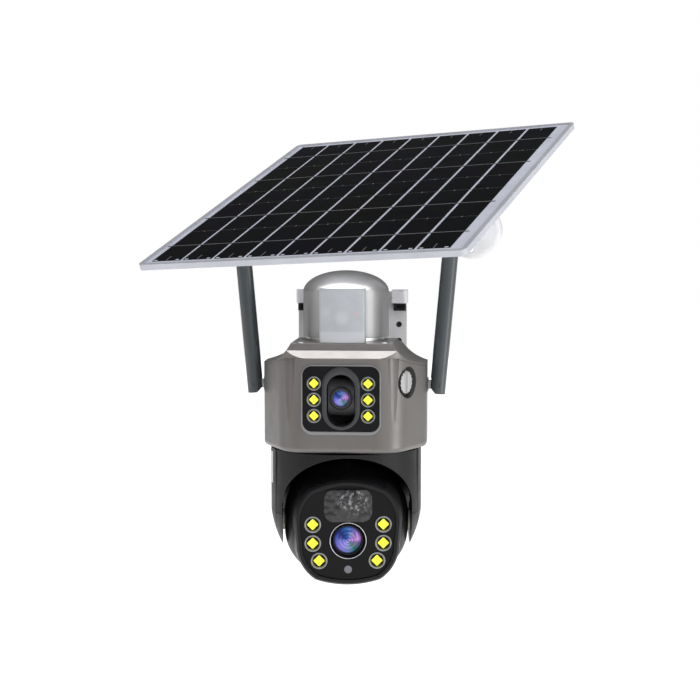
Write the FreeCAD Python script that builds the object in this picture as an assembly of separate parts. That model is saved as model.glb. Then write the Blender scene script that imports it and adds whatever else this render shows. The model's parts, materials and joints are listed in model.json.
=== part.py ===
"""Solar-powered dual-lens security camera on a wall plate, with its panel on a second bracket.

Millimetres, +Z up.  The wall is the plane Y = 0 and the camera looks along -Y.  The origin is the
centre of the wall plate's back face.  The camera hangs on a vertical pan axis in front of the wall,
and most of its pieces are drawn about that axis and then moved out to it.
"""
import FreeCAD
import Part
import math
import os

V = FreeCAD.Vector
X_AXIS = V(1, 0, 0)
Y_AXIS = V(0, 1, 0)
Z_AXIS = V(0, 0, 1)

# ---- where the main axes are -------------------------------------------------------------------
PAN_AXIS_Y = -72.0            # the pan axis stands this far in front of the wall
PAN_AT_REST = 6.0             # degrees that the yoke is turned towards +X at rest
TILT_AXIS_Z = -134.0          # the head tilts about this height
CLEAR = 0.3                   # gap between bodies that slide past each other
FIT = 0.08                    # radial running fit of a shaft in its bush
WALL = 2.5                    # thickness of the moulded casings

# ---- wall plate and arm ------------------------------------------------------------------------
PLATE_WIDTH = 87.5
PLATE_BOTTOM = -42.0
PLATE_TOP = 38.0
PLATE_THICK = 4.0
PLATE_CORNER = 6.0
PLATE_HOLE_R = 2.35
PLATE_HOLE_X = 37.5
PLATE_HOLE_ROWS = (11.5, -1.7, -33.0)
LUG_BOTTOM = 29.0
LUG_TOP = 39.5
LUG_DEPTH = 14.0
LUG_X = 32.0                  # inner end of each lug
HOOK_HEIGHT = 6.0
DOME_R = 32.5
DOME_BOTTOM = 7.5
DOME_STRAIGHT_TOP = 41.0
DOME_TOP = 57.0
NECK_HALF_WIDTH = 23.0
NECK_BOTTOM = 11.0
NECK_TOP = 40.0

# ---- shoulder ----------------------------------------------------------------------------------
DECK_Z = 4.7
DECK_HALF_WIDTH = 37.5
DECK_FRONT = 45.5             # from the pan axis to the deck's front edge
DECK_BACK = 12.0              # behind this the deck falls away
DECK_BACK_DROP = 6.0          # as far as the shoulder's back face
LIP_Z = -0.5                  # bottom of the short upright face under the deck's edge
FRONT = 51.0                  # from the pan axis to the flat front face
FRONT_HALF = 40.7
SIDE = 62.0                   # from the pan axis to each side face
SIDE_FRONT = 10.0
SIDE_BACK = 16.0
BACK = 50.0
SEAM_FRONT_Z = -6.0
SEAM_SIDE_Z = -15.0
SLOPE_END_Z = -12.0
SHOULDER_BOTTOM = -76.0
FRONT_CORNER_R = 26.0         # broad front corners, seen from above
CORNER_R = 12.0
FLUTE_R = 8.0
FLUTE_DEPTH = 2.0             # at the top of each front corner
FLUTE_FOOT_Z = -54.0          # where the flute has faded out
COVER_SCREW_X = 31.0
COVER_SCREW_Y = -38.5

# ---- front window ------------------------------------------------------------------------------
WINDOW_Z = -35.4
WINDOW_W = 56.6
WINDOW_H = 48.2
WINDOW_R = 7.0
WINDOW_THICK = 2.6
WINDOW_PROUD = 0.6
UPPER_LENS_Z = -35.2
SLOT_Z = -36.6
SLOT_W = 20.6
SLOT_H = 38.0
UPPER_LED_X = 19.8
UPPER_LED_STEP = 11.9
UPPER_LED_Z = -36.0
UPPER_LED_R = 5.2
CARRIAGE_Y = -35.0            # hinge of the small lens carriage, from the pan axis
CARRIAGE_R = 12.0

# ---- service plug on the right oblique face ----------------------------------------------------
PLUG_Z = -24.5
PLUG_ALONG = 17.5             # along the oblique face from its front edge
RECESS_R = 11.8
RECESS_DEPTH = 6.5
PLUG_R = 8.6

# ---- antennas ----------------------------------------------------------------------------------
ANTENNA_X = 70.1
ANTENNA_Z = -29.5
ANTENNA_R = 6.1
ANTENNA_BASE_R = 6.0
ANTENNA_UP = 124.0            # from the pin to the tip
ANTENNA_DOWN = 6.9            # from the pin to the bottom end
FOOT_CHAMFER = 4.4            # lets the foot swing past the knuckle's washer
ANTENNA_LEAN = 5.0            # degrees outwards at rest
ANTENNA_PIN_R = 1.6
TONGUE_HALF = 2.0
COLLAR_R = 3.9

# ---- yoke --------------------------------------------------------------------------------------
YOKE_R = 57.5
YOKE_DEPTH = 50.0             # the yoke is an oval from above: this is its half depth
YOKE_TOP = -77.0
YOKE_STRAIGHT = -125.0
YOKE_BOTTOM = -159.5
ARM_INNER = 48.7
ARCH_TOP = -79.4
ARCH_SPRING = -118.0
POCKET_HALF = 49.6
POCKET_STRAIGHT = 9.2         # the pocket behind the arch, seen from above: straight sides, then an ellipse
POCKET_DEPTH = 47.7
WALL_BOTTOM = -122.5          # lower edge of that wall
RIB_X = 43.0                  # beyond this the wall runs on down each arm as a rib
RIB_BOTTOM = -146.0
COVER_SEAM_X = 53.4
ARM_SEAM_Z = -125.0           # short seam across each arm's lower end
TILT_PIN_R = 7.9
TILT_PIN_END = 52.0           # outer end of each tilt pin, inside its arm
HUB_R = 15.0
HUB_BORE_R = 10.0
HUB_TOP = -58.0
BEARING_R = 22.0

# ---- gears -------------------------------------------------------------------------------------
MODULE = 0.8
PAN_GEAR_TEETH = 60
PAN_PINION_TEETH = 12
TILT_GEAR_TEETH = 30
TILT_PINION_TEETH = 12
GEAR_PLAY = 0.45              # added to the centre distance
TILT_GEAR_X = -38.0           # outer face of the tilt gear
TILT_PINION_LEAN = 42.0       # degrees above level, seen from the side: a tooth of the tilt gear points there
TILT_PINION_TURN = -3.0       # puts a gap of the pinion on that tooth

# ---- head --------------------------------------------------------------------------------------
HEAD_HALF_WIDTH = 47.0
HEAD_R = 46.6
HEAD_CHEEK_R = 8.0
HEAD_SEAM = -8.0              # the front and rear shells meet on this upright plane
SNOUT_BACK = -14.0
SNOUT_FLARE = 1.09            # how much wider the snout is at its back
MIC_R = 0.9
RIM_FRONT = 48.5              # from the tilt axis to the front of the rim
FACE_Z = -134.7
FACE_PLATE_FRONT = 47.2
FACE_PLATE_THICK = 2.6
RIM_WIDTH = 4.2
HEAD_LENS_Z = -141.0
HEAD_LENS_R = 13.8
HEAD_BARREL_R = 11.2
HEAD_GLASS_R = 10.35
HEAD_PIR_W = 35.5
HEAD_PIR_H = 24.0
HEAD_PIR_Z = -115.6
HEAD_LED_R = 6.15
HEAD_LED_PLACES = ((26.1, -128.9), (26.1, -142.9), (21.4, -156.0))
LIGHT_SENSOR_Z = -162.6
LIGHT_SENSOR_R = 2.9

# ---- solar panel -------------------------------------------------------------------------------
PANEL_WIDTH = 225.5
PANEL_DEPTH = 254.5
PANEL_THICK = 4.0
PANEL_CENTRE = V(23.0, -172.0, 115.3)
PANEL_YAW = 19.7              # the panel's back is turned towards +X
PANEL_RISE = 20.6             # the back is higher than the front
PANEL_ROLL = 3.0              # the right edge is higher than the left
MARGIN_LEFT = 7.5
MARGIN_RIGHT = 11.7
MARGIN_ENDS = 7.1
CELL_COLUMNS = 9
CELL_GAP = 2.2
FLANGE_X = 97.0
FLANGE_Z = 87.0
FLANGE_R = 23.0
FLANGE_THICK = 9.0
FLANGE_HOLE_CIRCLE = 15.5
FLANGE_HOLE_R = 2.2
ARM_TUBE_R = 6.0
BEND_R = 13.0
PANEL_CORNER = 4.0
FRAME_LIP = 3.0               # width of the frame's raised rim
HINGE_DROP = 20.0             # from the panel's top face to its hinge pin
LUG_GAP = 8.7                 # half the gap between the bracket's two lugs
LUG_THICK = 2.5
EYE_R = 7.0
PAD_R = 13.0
PAD_TOP = -12.5               # the arm's pad, measured along the post from the hinge pin
PAD_THICK = 5.0
BOLT_R = 3.0


# ---- small helpers -----------------------------------------------------------------------------
def box(x0, x1, y0, y1, z0, z1):
    """A block between two corners."""
    return Part.makeBox(x1 - x0, y1 - y0, z1 - z0, V(x0, y0, z0))


def rod(radius, start, end):
    """A round bar from one point to another."""
    return Part.makeCylinder(radius, (end - start).Length, start, end - start)


def ring(outer, inner, start, end):
    """A round tube from one point to another."""
    return rod(outer, start, end).cut(rod(inner, start, end))


def moved(shape, offset):
    """A copy of the shape, shifted."""
    copy = shape.copy()
    copy.translate(offset)
    return copy


def turned(shape, centre, axis, degrees):
    """A copy of the shape, turned about a line."""
    copy = shape.copy()
    copy.rotate(centre, axis, degrees)
    return copy


def mirrored(shape):
    """The same piece for the other side of the body."""
    return shape.mirror(V(0, 0, 0), X_AXIS)


def joined(shapes):
    """One solid from several that touch or overlap."""
    whole = shapes[0]
    for shape in shapes[1:]:
        whole = whole.fuse(shape)
    return whole.removeSplitter()


def without(shape, cutters):
    """The shape with every cutter taken away."""
    for cutter in cutters:
        shape = shape.cut(cutter)
    return shape


def arc(a, b, c):
    """The arc through three points, as an edge."""
    return Part.Arc(a, b, c).toShape()


def upright_ellipse(half_width, rise, sweep, base_z):
    """An arc of an ellipse in the XZ plane, from +X upwards, wider than it is high."""
    curve = Part.Arc(Part.Ellipse(V(0, 0, 0), half_width, rise), 0, sweep).toShape()
    return moved(turned(curve, V(0, 0, 0), X_AXIS, 90), V(0, 0, base_z))


def filled(edges, along):
    """A closed outline, pushed along a vector into a solid."""
    return Part.Face(Part.Wire(edges)).extrude(along)


def polygon(points, along):
    """A straight-sided outline, pushed along a vector into a solid."""
    return Part.Face(Part.makePolygon(points + [points[0]])).extrude(along)


def rounded_plate(width, height, radius, y_front, y_back, z_centre):
    """An upright rounded rectangle, centred on X = 0, between two depths."""
    plate = box(-width / 2, width / 2, y_front, y_back, z_centre - height / 2, z_centre + height / 2)
    corners = [e for e in plate.Edges if abs(e.tangentAt(e.FirstParameter).y) > 0.99]
    return plate.makeFillet(radius, corners)


def stadium(width, height, y_front, y_back, z_centre):
    """An upright slot shape with round ends."""
    reach = (height - width) / 2
    ends = [rod(width / 2, V(0, y_front, z_centre + s * reach), V(0, y_back, z_centre + s * reach))
            for s in (-1, 1)]
    middle = box(-width / 2, width / 2, y_front, y_back, z_centre - reach, z_centre + reach)
    return joined([middle] + ends)


def gear(teeth, width):
    """A spur gear about Z with its first tooth on +X, with slim teeth that leave plenty of play."""
    pitch_r = MODULE * teeth / 2
    tip_r = pitch_r + 0.8 * MODULE
    root_r = pitch_r - 1.25 * MODULE
    pitch_angle = 2 * math.pi / teeth
    root_half = 0.30 * pitch_angle
    tip_half = 0.11 * pitch_angle
    points = []
    for tooth in range(teeth):
        middle = tooth * pitch_angle
        for radius, offset in ((root_r, -root_half), (tip_r, -tip_half), (tip_r, tip_half), (root_r, root_half)):
            angle = middle + offset
            points.append(V(radius * math.cos(angle), radius * math.sin(angle), 0))
    return polygon(points, V(0, 0, width))


def on_axis(shape):
    """Moves a piece drawn about the pan axis out from the wall."""
    return moved(shape, V(0, PAN_AXIS_Y, 0))


def panned(shape):
    """Turns a yoke or head piece to its rest angle and moves it out to the pan axis."""
    return on_axis(turned(shape, V(0, 0, 0), Z_AXIS, PAN_AT_REST))


def write(name, shapes):
    """Writes one node, as separate solids where it has several."""
    solids = []
    for shape in shapes:
        solids.extend(shape.Solids)
    whole = solids[0] if len(solids) == 1 else Part.makeCompound(solids)
    if not whole.isValid():
        print("INVALID", name)
    whole.exportStep(os.path.join("parts", name + ".step"))
    print(f"{name}: {len(solids)} solid(s), {sum(s.Volume for s in solids):.0f} mm3")


# ---- wall plate, arm and dome ------------------------------------------------------------------
def make_wall_plate():
    """The upright plate that is screwed to the wall, with the two lugs that the arm hooks over."""
    half = PLATE_WIDTH / 2
    plate = box(-half, half, -PLATE_THICK, 0, PLATE_BOTTOM, PLATE_TOP)
    corners = [e for e in plate.Edges if abs(e.tangentAt(e.FirstParameter).y) > 0.99]
    plate = plate.makeFillet(PLATE_CORNER, corners)
    lug = box(LUG_X, half + 1, -LUG_DEPTH, 0, LUG_BOTTOM, LUG_TOP)
    outer_edge = [e for e in lug.Edges if e.BoundBox.XMin > half and e.BoundBox.YMax < -1
                  and e.BoundBox.ZLength > 5]
    lug = lug.makeFillet(4.0, outer_edge)
    holes = [rod(PLATE_HOLE_R, V(s * PLATE_HOLE_X, 1, z), V(s * PLATE_HOLE_X, -LUG_DEPTH, z))
             for s in (-1, 1) for z in PLATE_HOLE_ROWS]
    return without(joined([plate, lug, mirrored(lug)]), holes)


def make_hook_blocks():
    """The dark slotted blocks under the lugs that the arm's side hooks drop into."""
    block = box(LUG_X + 1.5, PLATE_WIDTH / 2 - 0.5, -LUG_DEPTH + 1.5, -PLATE_THICK,
                LUG_BOTTOM - HOOK_HEIGHT, LUG_BOTTOM)
    slot = box(LUG_X + 3.5, PLATE_WIDTH / 2 - 3.0, -LUG_DEPTH, -LUG_DEPTH + 5,
               LUG_BOTTOM - HOOK_HEIGHT + 2, LUG_BOTTOM - 1.5)
    block = block.cut(slot)
    return [block, mirrored(block)]


def dome_solid(inset):
    """The round post with a domed top and a tiny flat at its crown, about the pan axis."""
    radius = DOME_R - inset
    rise = DOME_TOP - DOME_STRAIGHT_TOP - inset
    sweep = math.radians(86)
    curve = upright_ellipse(radius, rise, sweep, DOME_STRAIGHT_TOP)
    low = V(radius, 0, DOME_STRAIGHT_TOP)
    crown = V(radius * math.cos(sweep), 0, DOME_STRAIGHT_TOP + rise * math.sin(sweep))
    points = [V(0, 0, crown.z), V(0, 0, DOME_BOTTOM + inset), V(radius, 0, DOME_BOTTOM + inset), low]
    outline = [Part.makeLine(a, b) for a, b in zip(points, points[1:])] + [curve, Part.makeLine(crown, points[0])]
    return Part.Face(Part.Wire(outline)).revolve(V(0, 0, 0), Z_AXIS, 360)


def neck_solid(inset, y_back):
    """The square arm from the dome back to the wall plate."""
    half = NECK_HALF_WIDTH - inset
    neck = box(-half, half, 0, y_back, NECK_BOTTOM + inset, NECK_TOP - inset)
    edges = [e for e in neck.Edges if abs(e.tangentAt(e.FirstParameter).y) > 0.99]
    return neck.makeFillet(5.0 - inset / 2, edges)


def make_arm_housing():
    """The hollow dome and arm in one casting, with the opening for the motion window."""
    plate_face = -PAN_AXIS_Y - PLATE_THICK
    outside = joined([dome_solid(0), neck_solid(0, plate_face)])
    inside = joined([dome_solid(WALL), neck_solid(WALL, plate_face - WALL)])
    opening = box(-14.8, 14.8, -DOME_R - 5, -15, DOME_BOTTOM + 4, 40.5)
    cable_way = rod(9.0, V(0, 0, DOME_BOTTOM - 1), V(0, 0, DOME_BOTTOM + WALL + 1))
    return on_axis(without(outside, [inside, opening, cable_way]))


def make_arm_base_ring():
    """The bright ring in the groove between the dome and the deck."""
    band = ring(DOME_R - 1.2, 16.0, V(0, 0, DECK_Z), V(0, 0, DOME_BOTTOM))
    window_notch = moved(pir_block(-0.1), V(0, 0.3, 0))
    return on_axis(band.cut(window_notch))


def pir_block(inset):
    """The bowed block of the motion window: flat sides, slightly arched front."""
    half = 16.8 - inset
    front = -44.0 + inset
    side = -42.4 + inset
    back = -27.0 + inset
    bottom = V(0, 0, DECK_Z + 0.3 + inset)
    outline = [arc(V(-half, side, 0), V(0, front, 0), V(half, side, 0)),
               Part.makeLine(V(half, side, 0), V(half, back, 0)),
               Part.makeLine(V(half, back, 0), V(-half, back, 0)),
               Part.makeLine(V(-half, back, 0), V(-half, side, 0))]
    block = filled(outline, V(0, 0, 39.4 - 2 * inset))
    block.translate(bottom)
    return block


def make_pir_window():
    """The milky window over the motion sensor: a thin shell, open at the back."""
    shell = pir_block(0)
    upright = [e for e in shell.Edges if e.BoundBox.ZLength > 30 and e.BoundBox.YMax < -40]
    shell = shell.makeFillet(2.0, upright)
    hollow = pir_block(1.6)
    hollow = hollow.fuse(moved(hollow, V(0, 6, 0)))
    return on_axis(without(shell, [hollow, dome_solid(-0.05)]))


def make_pir_sensor():
    """The motion sensor: a round can on its small board, behind the window."""
    board = box(-12, 12, -22.0, -20.4, 13, 37)
    can = rod(4.6, V(0, -22.0, 25), V(0, -26.5, 25))
    posts = [rod(1.6, V(s * 9, -20.4, 35), V(s * 9, -14.0, 35)) for s in (-1, 1)]
    return on_axis(joined([board, can] + posts))


# ---- shoulder ----------------------------------------------------------------------------------
def plan_prism(inset, z_low, z_high):
    """The shoulder's outline from above: flat front, two oblique faces, straight sides, cut-off back."""
    front = FRONT - inset
    half = FRONT_HALF - inset * 0.45
    side = SIDE - inset
    back = BACK - inset
    points = [V(-half, -front, z_low), V(half, -front, z_low), V(side, -SIDE_FRONT, z_low),
              V(side, SIDE_BACK, z_low), V(half, back, z_low), V(-half, back, z_low),
              V(-side, SIDE_BACK, z_low), V(-side, -SIDE_FRONT, z_low)]
    prism = polygon(points, V(0, 0, z_high - z_low))
    others = [e for e in prism.Edges if e.BoundBox.ZLength > 1 and e.BoundBox.YMin > -front + 1]
    prism = prism.makeFillet(CORNER_R, others)
    corners = [e for e in prism.Edges if e.BoundBox.ZLength > 1 and e.BoundBox.YMax < -front + 0.1]
    return prism.makeFillet(FRONT_CORNER_R, corners)


def front_profile(inset):
    """The shoulder's top seen from the front: level deck, hollow slopes, short upright sides."""
    deck = DECK_Z - inset
    half = DECK_HALF_WIDTH - inset
    side = SIDE + 1
    bend = V(half + 12.5, 0, DECK_Z - 13.0 - inset)
    right = arc(V(half, 0, deck), bend, V(side, 0, SLOPE_END_Z - inset))
    left = arc(V(-side, 0, SLOPE_END_Z - inset), V(-bend.x, 0, bend.z), V(-half, 0, deck))
    low = SHOULDER_BOTTOM - 1
    edges = [Part.makeLine(V(-half, 0, deck), V(half, 0, deck)), right,
             Part.makeLine(V(side, 0, SLOPE_END_Z - inset), V(side, 0, low)),
             Part.makeLine(V(side, 0, low), V(-side, 0, low)),
             Part.makeLine(V(-side, 0, low), V(-side, 0, SLOPE_END_Z - inset)), left]
    solid = filled(edges, V(0, 2 * FRONT + 4, 0))
    return moved(solid, V(0, -FRONT - 2, 0))


def side_profile(inset):
    """The shoulder's top seen from the side: the deck's front lip and the broad chamfer under it."""
    low = SHOULDER_BOTTOM - 1
    points = [V(0, -FRONT, low), V(0, -FRONT, SEAM_FRONT_Z), V(0, -DECK_FRONT, LIP_Z),
              V(0, -DECK_FRONT + 0.6, DECK_Z), V(0, DECK_BACK, DECK_Z), V(0, BACK, DECK_Z - DECK_BACK_DROP),
              V(0, BACK, low)]
    points = [V(0, p.y + (inset if p.y < 0 else 0), p.z - (inset if p.z > SEAM_FRONT_Z else 0)) for p in points]
    return moved(polygon(points, V(2 * SIDE + 4, 0, 0)), V(-SIDE - 2, 0, 0))


def below_seam(drop):
    """Everything under the seam: level across the front, falling towards the sides."""
    side = SIDE + 2
    low = SHOULDER_BOTTOM - 2
    fall = (SEAM_FRONT_Z - SEAM_SIDE_Z) / (SIDE - FRONT_HALF)
    side_z = SEAM_FRONT_Z - drop - fall * (side - FRONT_HALF)
    points = [V(-side, 0, low), V(side, 0, low), V(side, 0, side_z), V(FRONT_HALF, 0, SEAM_FRONT_Z - drop),
              V(-FRONT_HALF, 0, SEAM_FRONT_Z - drop), V(-side, 0, side_z)]
    return moved(polygon(points, V(0, 2 * FRONT + 6, 0)), V(0, -FRONT - 3, 0))


def shoulder_block(inset):
    """The whole shoulder before it is split into cover and housing."""
    prism = plan_prism(inset, SHOULDER_BOTTOM + inset, DECK_Z + 1)
    return prism.common(front_profile(inset)).common(side_profile(inset))


def screw_rod(side, radius, z_low, z_high):
    """A round bar on one of the cover screws' axes."""
    return rod(radius, V(side * COVER_SCREW_X, COVER_SCREW_Y, z_low), V(side * COVER_SCREW_X, COVER_SCREW_Y, z_high))


def make_top_cover():
    """The upper shell of the shoulder, down to the seam, with the cable hole and screw pockets."""
    cover = shoulder_block(0).cut(shoulder_block(WALL)).cut(below_seam(0))
    seat = rod(DOME_R - 0.6, V(0, 0, DECK_Z - DECK_BACK_DROP), V(0, 0, DECK_Z))
    bosses = [screw_rod(s, 4.0, SEAM_FRONT_Z + 0.4, DECK_Z - 1).common(shoulder_block(0)) for s in (-1, 1)]
    holes = [screw_rod(s, 1.6, SEAM_FRONT_Z - 1, DECK_Z + 1) for s in (-1, 1)]
    pockets = [screw_rod(s, 3.1, DECK_Z - 1.2, DECK_Z + 1) for s in (-1, 1)]
    cable_hole = rod(9.0, V(0, 0, -8), V(0, 0, DECK_Z + 1))
    return on_axis(without(joined([cover, seat] + bosses), holes + pockets + [cable_hole]))


def make_cover_screws():
    """The two pan-head screws in the deck's front corners."""
    screws = []
    for side in (-1, 1):
        head = screw_rod(side, 2.9, DECK_Z - 1.2, DECK_Z + 0.5)
        shank = screw_rod(side, 1.5, SEAM_FRONT_Z - 0.5, DECK_Z - 1.2)
        screws.append(on_axis(head.fuse(shank).removeSplitter()))
    return screws


def make_body_seal():
    """The thin gasket that runs round inside the seam between cover and housing."""
    band = plan_prism(WALL + 0.3, -30, 0).cut(plan_prism(WALL + 1.7, -31, 1))
    bores = [screw_rod(s, 4.3, -20, 0) for s in (-1, 1)]
    return on_axis(without(band.common(below_seam(0.02)), [below_seam(2.0)] + bores))


def oblique_frame():
    """The service plug's place: a point on the right oblique face and the face's outward direction."""
    start = V(FRONT_HALF, -FRONT, PLUG_Z)
    end = V(SIDE, -SIDE_FRONT, PLUG_Z)
    along = (end - start).normalize()
    outward = V(-along.y, along.x, 0) * -1.0
    return start + along * PLUG_ALONG, outward


def flute(side):
    """The hollow that fades out down each front corner: a leaning round cutter."""
    turn = math.atan2(SIDE - FRONT_HALF, FRONT - SIDE_FRONT)
    half_turn = (math.pi / 2 - turn) / 2
    outward = V(side * math.sin(half_turn), -math.cos(half_turn), 0)
    to_surface = FRONT_CORNER_R * (1 / math.cos(half_turn) - 1)
    surface = V(side * FRONT_HALF, -FRONT, 0) - outward * to_surface
    top = surface + outward * (FLUTE_R - FLUTE_DEPTH) + Z_AXIS * SEAM_FRONT_Z
    foot = surface + outward * FLUTE_R + Z_AXIS * FLUTE_FOOT_Z
    lean = top - foot
    return rod(FLUTE_R, foot, foot + lean * 1.3)


def make_shoulder_housing():
    """The lower shell of the shoulder, with window opening, plug recess, bearing seat and side bores."""
    outside = shoulder_block(0)
    outside = outside.common(below_seam(0.15))
    rim = [e for e in outside.Edges if e.BoundBox.ZMax < SHOULDER_BOTTOM + 0.01]
    outside = outside.makeFillet(4.0, rim)
    outside = without(outside, [flute(-1), flute(1)])
    inside = plan_prism(WALL, SHOULDER_BOTTOM + WALL, DECK_Z + 1)
    place, outward = oblique_frame()
    pad = rod(RECESS_R + 2.0, place - outward * (RECESS_DEPTH + 2.0), place - outward * 0.5)
    shell = joined([outside.cut(inside), pad.common(outside)])
    window = rounded_plate(WINDOW_W + 0.8, WINDOW_H + 0.8, WINDOW_R + 0.4, -FRONT - 2, -FRONT + WALL + 1, WINDOW_Z)
    recess = rod(RECESS_R, place - outward * RECESS_DEPTH, place + outward * 6)
    stem = rod(4.0, place - outward * (RECESS_DEPTH + 8), place)
    seat = rod(BEARING_R, V(0, 0, SHOULDER_BOTTOM - 1), V(0, 0, SHOULDER_BOTTOM + WALL + 1))
    bores = [rod(COLLAR_R + FIT, V(s * (SIDE - 8), 0, ANTENNA_Z), V(s * (SIDE + 2), 0, ANTENNA_Z)) for s in (-1, 1)]
    screw_bores = [screw_rod(s, 1.6, -20, 0) for s in (-1, 1)]
    inlet = rod(4.0, V(0, BACK - 6, -60), V(0, BACK + 2, -60))
    return on_axis(without(shell, [window, recess, stem, seat, inlet] + bores + screw_bores))


def make_charge_inlet():
    """The round charging inlet in the back of the shoulder, with its flange and collar."""
    flange = rod(7.0, V(0, BACK, -60), V(0, BACK + 2.5, -60))
    barrel = rod(3.9, V(0, BACK - 5.6, -60), V(0, BACK + 0.1, -60))
    mouth = rod(2.6, V(0, BACK - 4, -60), V(0, BACK + 3, -60))
    return on_axis(joined([flange, barrel]).cut(mouth))


# ---- upper window, lamps and lens --------------------------------------------------------------
def make_window_bezel():
    """The bright frame round the black window, with the lip that the window rests on."""
    flange = rounded_plate(WINDOW_W + 1.8, WINDOW_H + 3.1, WINDOW_R + 1.4, -FRONT - 0.8, -FRONT, WINDOW_Z - 0.7)
    body = rounded_plate(WINDOW_W + 0.6, WINDOW_H + 0.6, WINDOW_R + 0.3, -FRONT - 0.1, -FRONT + 4.2, WINDOW_Z)
    seat = rounded_plate(WINDOW_W, WINDOW_H, WINDOW_R, -FRONT - 2, -FRONT + WINDOW_THICK - WINDOW_PROUD, WINDOW_Z)
    through = rounded_plate(WINDOW_W - 4, WINDOW_H - 4, WINDOW_R - 2, -FRONT - 2, -FRONT + 6, WINDOW_Z)
    return on_axis(without(joined([flange, body]), [seat, through]))


def upper_led_centres():
    """Where the six lamps of the upper window sit, as X and Z."""
    return [(s * UPPER_LED_X, UPPER_LED_Z + row * UPPER_LED_STEP) for s in (-1, 1) for row in (1, 0, -1)]


def make_front_window():
    """The black window plate with its lens slot and six lamp holes."""
    front = -FRONT - WINDOW_PROUD
    plate = rounded_plate(WINDOW_W - 0.1, WINDOW_H - 0.1, WINDOW_R, front, front + WINDOW_THICK, WINDOW_Z)
    slot = stadium(SLOT_W, SLOT_H, front - 1, front + WINDOW_THICK + 1, SLOT_Z)
    holes = [rod(UPPER_LED_R + 0.05, V(x, front - 1, z), V(x, front + 4, z)) for x, z in upper_led_centres()]
    return on_axis(without(plate, [slot] + holes))


def lamp_cup(radius, front, x, z):
    """A reflector cup: a short round body with a cone sunk into its front."""
    depth = 0.62 * radius
    body = rod(radius, V(x, front, z), V(x, front + depth + 1.2, z))
    cone = Part.makeCone(0.84 * radius, 0.5 * radius, depth, V(x, front - 0.001, z), Y_AXIS)
    return body.cut(cone)


def make_upper_led_cups():
    front = -FRONT - WINDOW_PROUD - 0.3
    return [on_axis(lamp_cup(UPPER_LED_R, front, x, z)) for x, z in upper_led_centres()]


def make_lens_shroud():
    """The cup behind the slot that carries the small lens carriage on its side walls."""
    front = -FRONT + WINDOW_THICK - WINDOW_PROUD + 0.05
    back = CARRIAGE_Y + CARRIAGE_R + 2.5
    cup = stadium(SLOT_W + 3.6, SLOT_H + 3.6, front, back, SLOT_Z)
    hollow = stadium(SLOT_W + 0.6, SLOT_H + 0.6, front - 1, back - 2.0, SLOT_Z)
    pin_hole = rod(2.0 + FIT, V(-20, CARRIAGE_Y, UPPER_LENS_Z), V(20, CARRIAGE_Y, UPPER_LENS_Z))
    return on_axis(without(cup, [hollow, pin_hole]))


def make_upper_carriage():
    """The rolling carriage of the upper lens: a short drum on two side pins."""
    centre = V(0, CARRIAGE_Y, UPPER_LENS_Z)
    drum = rod(CARRIAGE_R, centre - X_AXIS * 9.0, centre + X_AXIS * 9.0)
    pins = rod(2.0, centre - X_AXIS * 12.0, centre + X_AXIS * 12.0)
    bore = rod(7.03, centre, centre - Y_AXIS * 20)
    return on_axis(joined([drum, pins]).cut(bore))


def make_upper_lens_barrel():
    """The upper lens barrel: a tube with a flared front ring."""
    tail = V(0, CARRIAGE_Y - 1, UPPER_LENS_Z)
    front = V(0, -FRONT - 0.2, UPPER_LENS_Z)
    tube = rod(7.0, tail, front)
    head = rod(8.5, V(0, CARRIAGE_Y - 10.6, UPPER_LENS_Z), front)
    drum = rod(CARRIAGE_R, V(-12, CARRIAGE_Y, UPPER_LENS_Z), V(12, CARRIAGE_Y, UPPER_LENS_Z))
    bore = rod(5.9, tail + Y_AXIS, front - Y_AXIS)
    return on_axis(without(joined([tube, head.cut(drum)]), [bore]))


def make_upper_lens_glass():
    """The front element of the upper lens: a shallow dome of glass in the barrel's mouth."""
    ball_r = 9.0
    centre = V(0, -FRONT + ball_r - 0.9, UPPER_LENS_Z)
    tube = rod(5.85, V(0, -FRONT - 2, UPPER_LENS_Z), V(0, -FRONT + 3.5, UPPER_LENS_Z))
    return on_axis(Part.makeSphere(ball_r, centre).common(tube))


# ---- inside the shoulder -----------------------------------------------------------------------
def make_main_board():
    """The main circuit board, upright in front of the battery."""
    board = box(-44, 44, 19.5, 21.1, -57, -16)
    chips = [box(-30, -12, 17.0, 19.5, -50, -34), box(14, 30, 17.6, 19.5, -56, -44), box(16, 34, 14.5, 19.5, -36, -24)]
    return on_axis(joined([board] + chips))


def battery_centres():
    """Heights of the three lying battery cells."""
    return [-25.0 - 19.0 * i for i in range(3)]


def make_battery_cells():
    """Three round lithium cells, lying across the back of the shoulder."""
    return [on_axis(rod(9.1, V(-32.5, 34.5, z), V(32.5, 34.5, z))) for z in battery_centres()]


def make_battery_holder():
    """The moulded cradle behind the cells."""
    cradle = box(-36, 36, 34.5, 45.4, -72.8, -15.5)
    hollows = [rod(9.3, V(-32.8, 34.5, z), V(32.8, 34.5, z)) for z in battery_centres()]
    inlet_notch = rod(4.4, V(0, 43.9, -60), V(0, 50, -60))
    return on_axis(without(cradle, hollows + [inlet_notch]))


def make_speaker():
    """The loudspeaker on the shoulder's floor."""
    floor = SHOULDER_BOTTOM + WALL
    basket = rod(11.5, V(42, 0, floor), V(42, 0, floor + 4))
    magnet = rod(7.0, V(42, 0, floor + 4), V(42, 0, floor + 8))
    return on_axis(joined([basket, magnet]))


def make_card_slot():
    """The card holder on its bracket behind the service plug."""
    place, outward = oblique_frame()
    holder = box(-7, 7, -1.6, 1.6, -8, 8)
    turn = math.degrees(math.atan2(outward.y, outward.x)) + 90
    holder = turned(holder, V(0, 0, 0), Z_AXIS, turn)
    return on_axis(moved(holder, place - outward * (RECESS_DEPTH + 5.5)))


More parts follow.
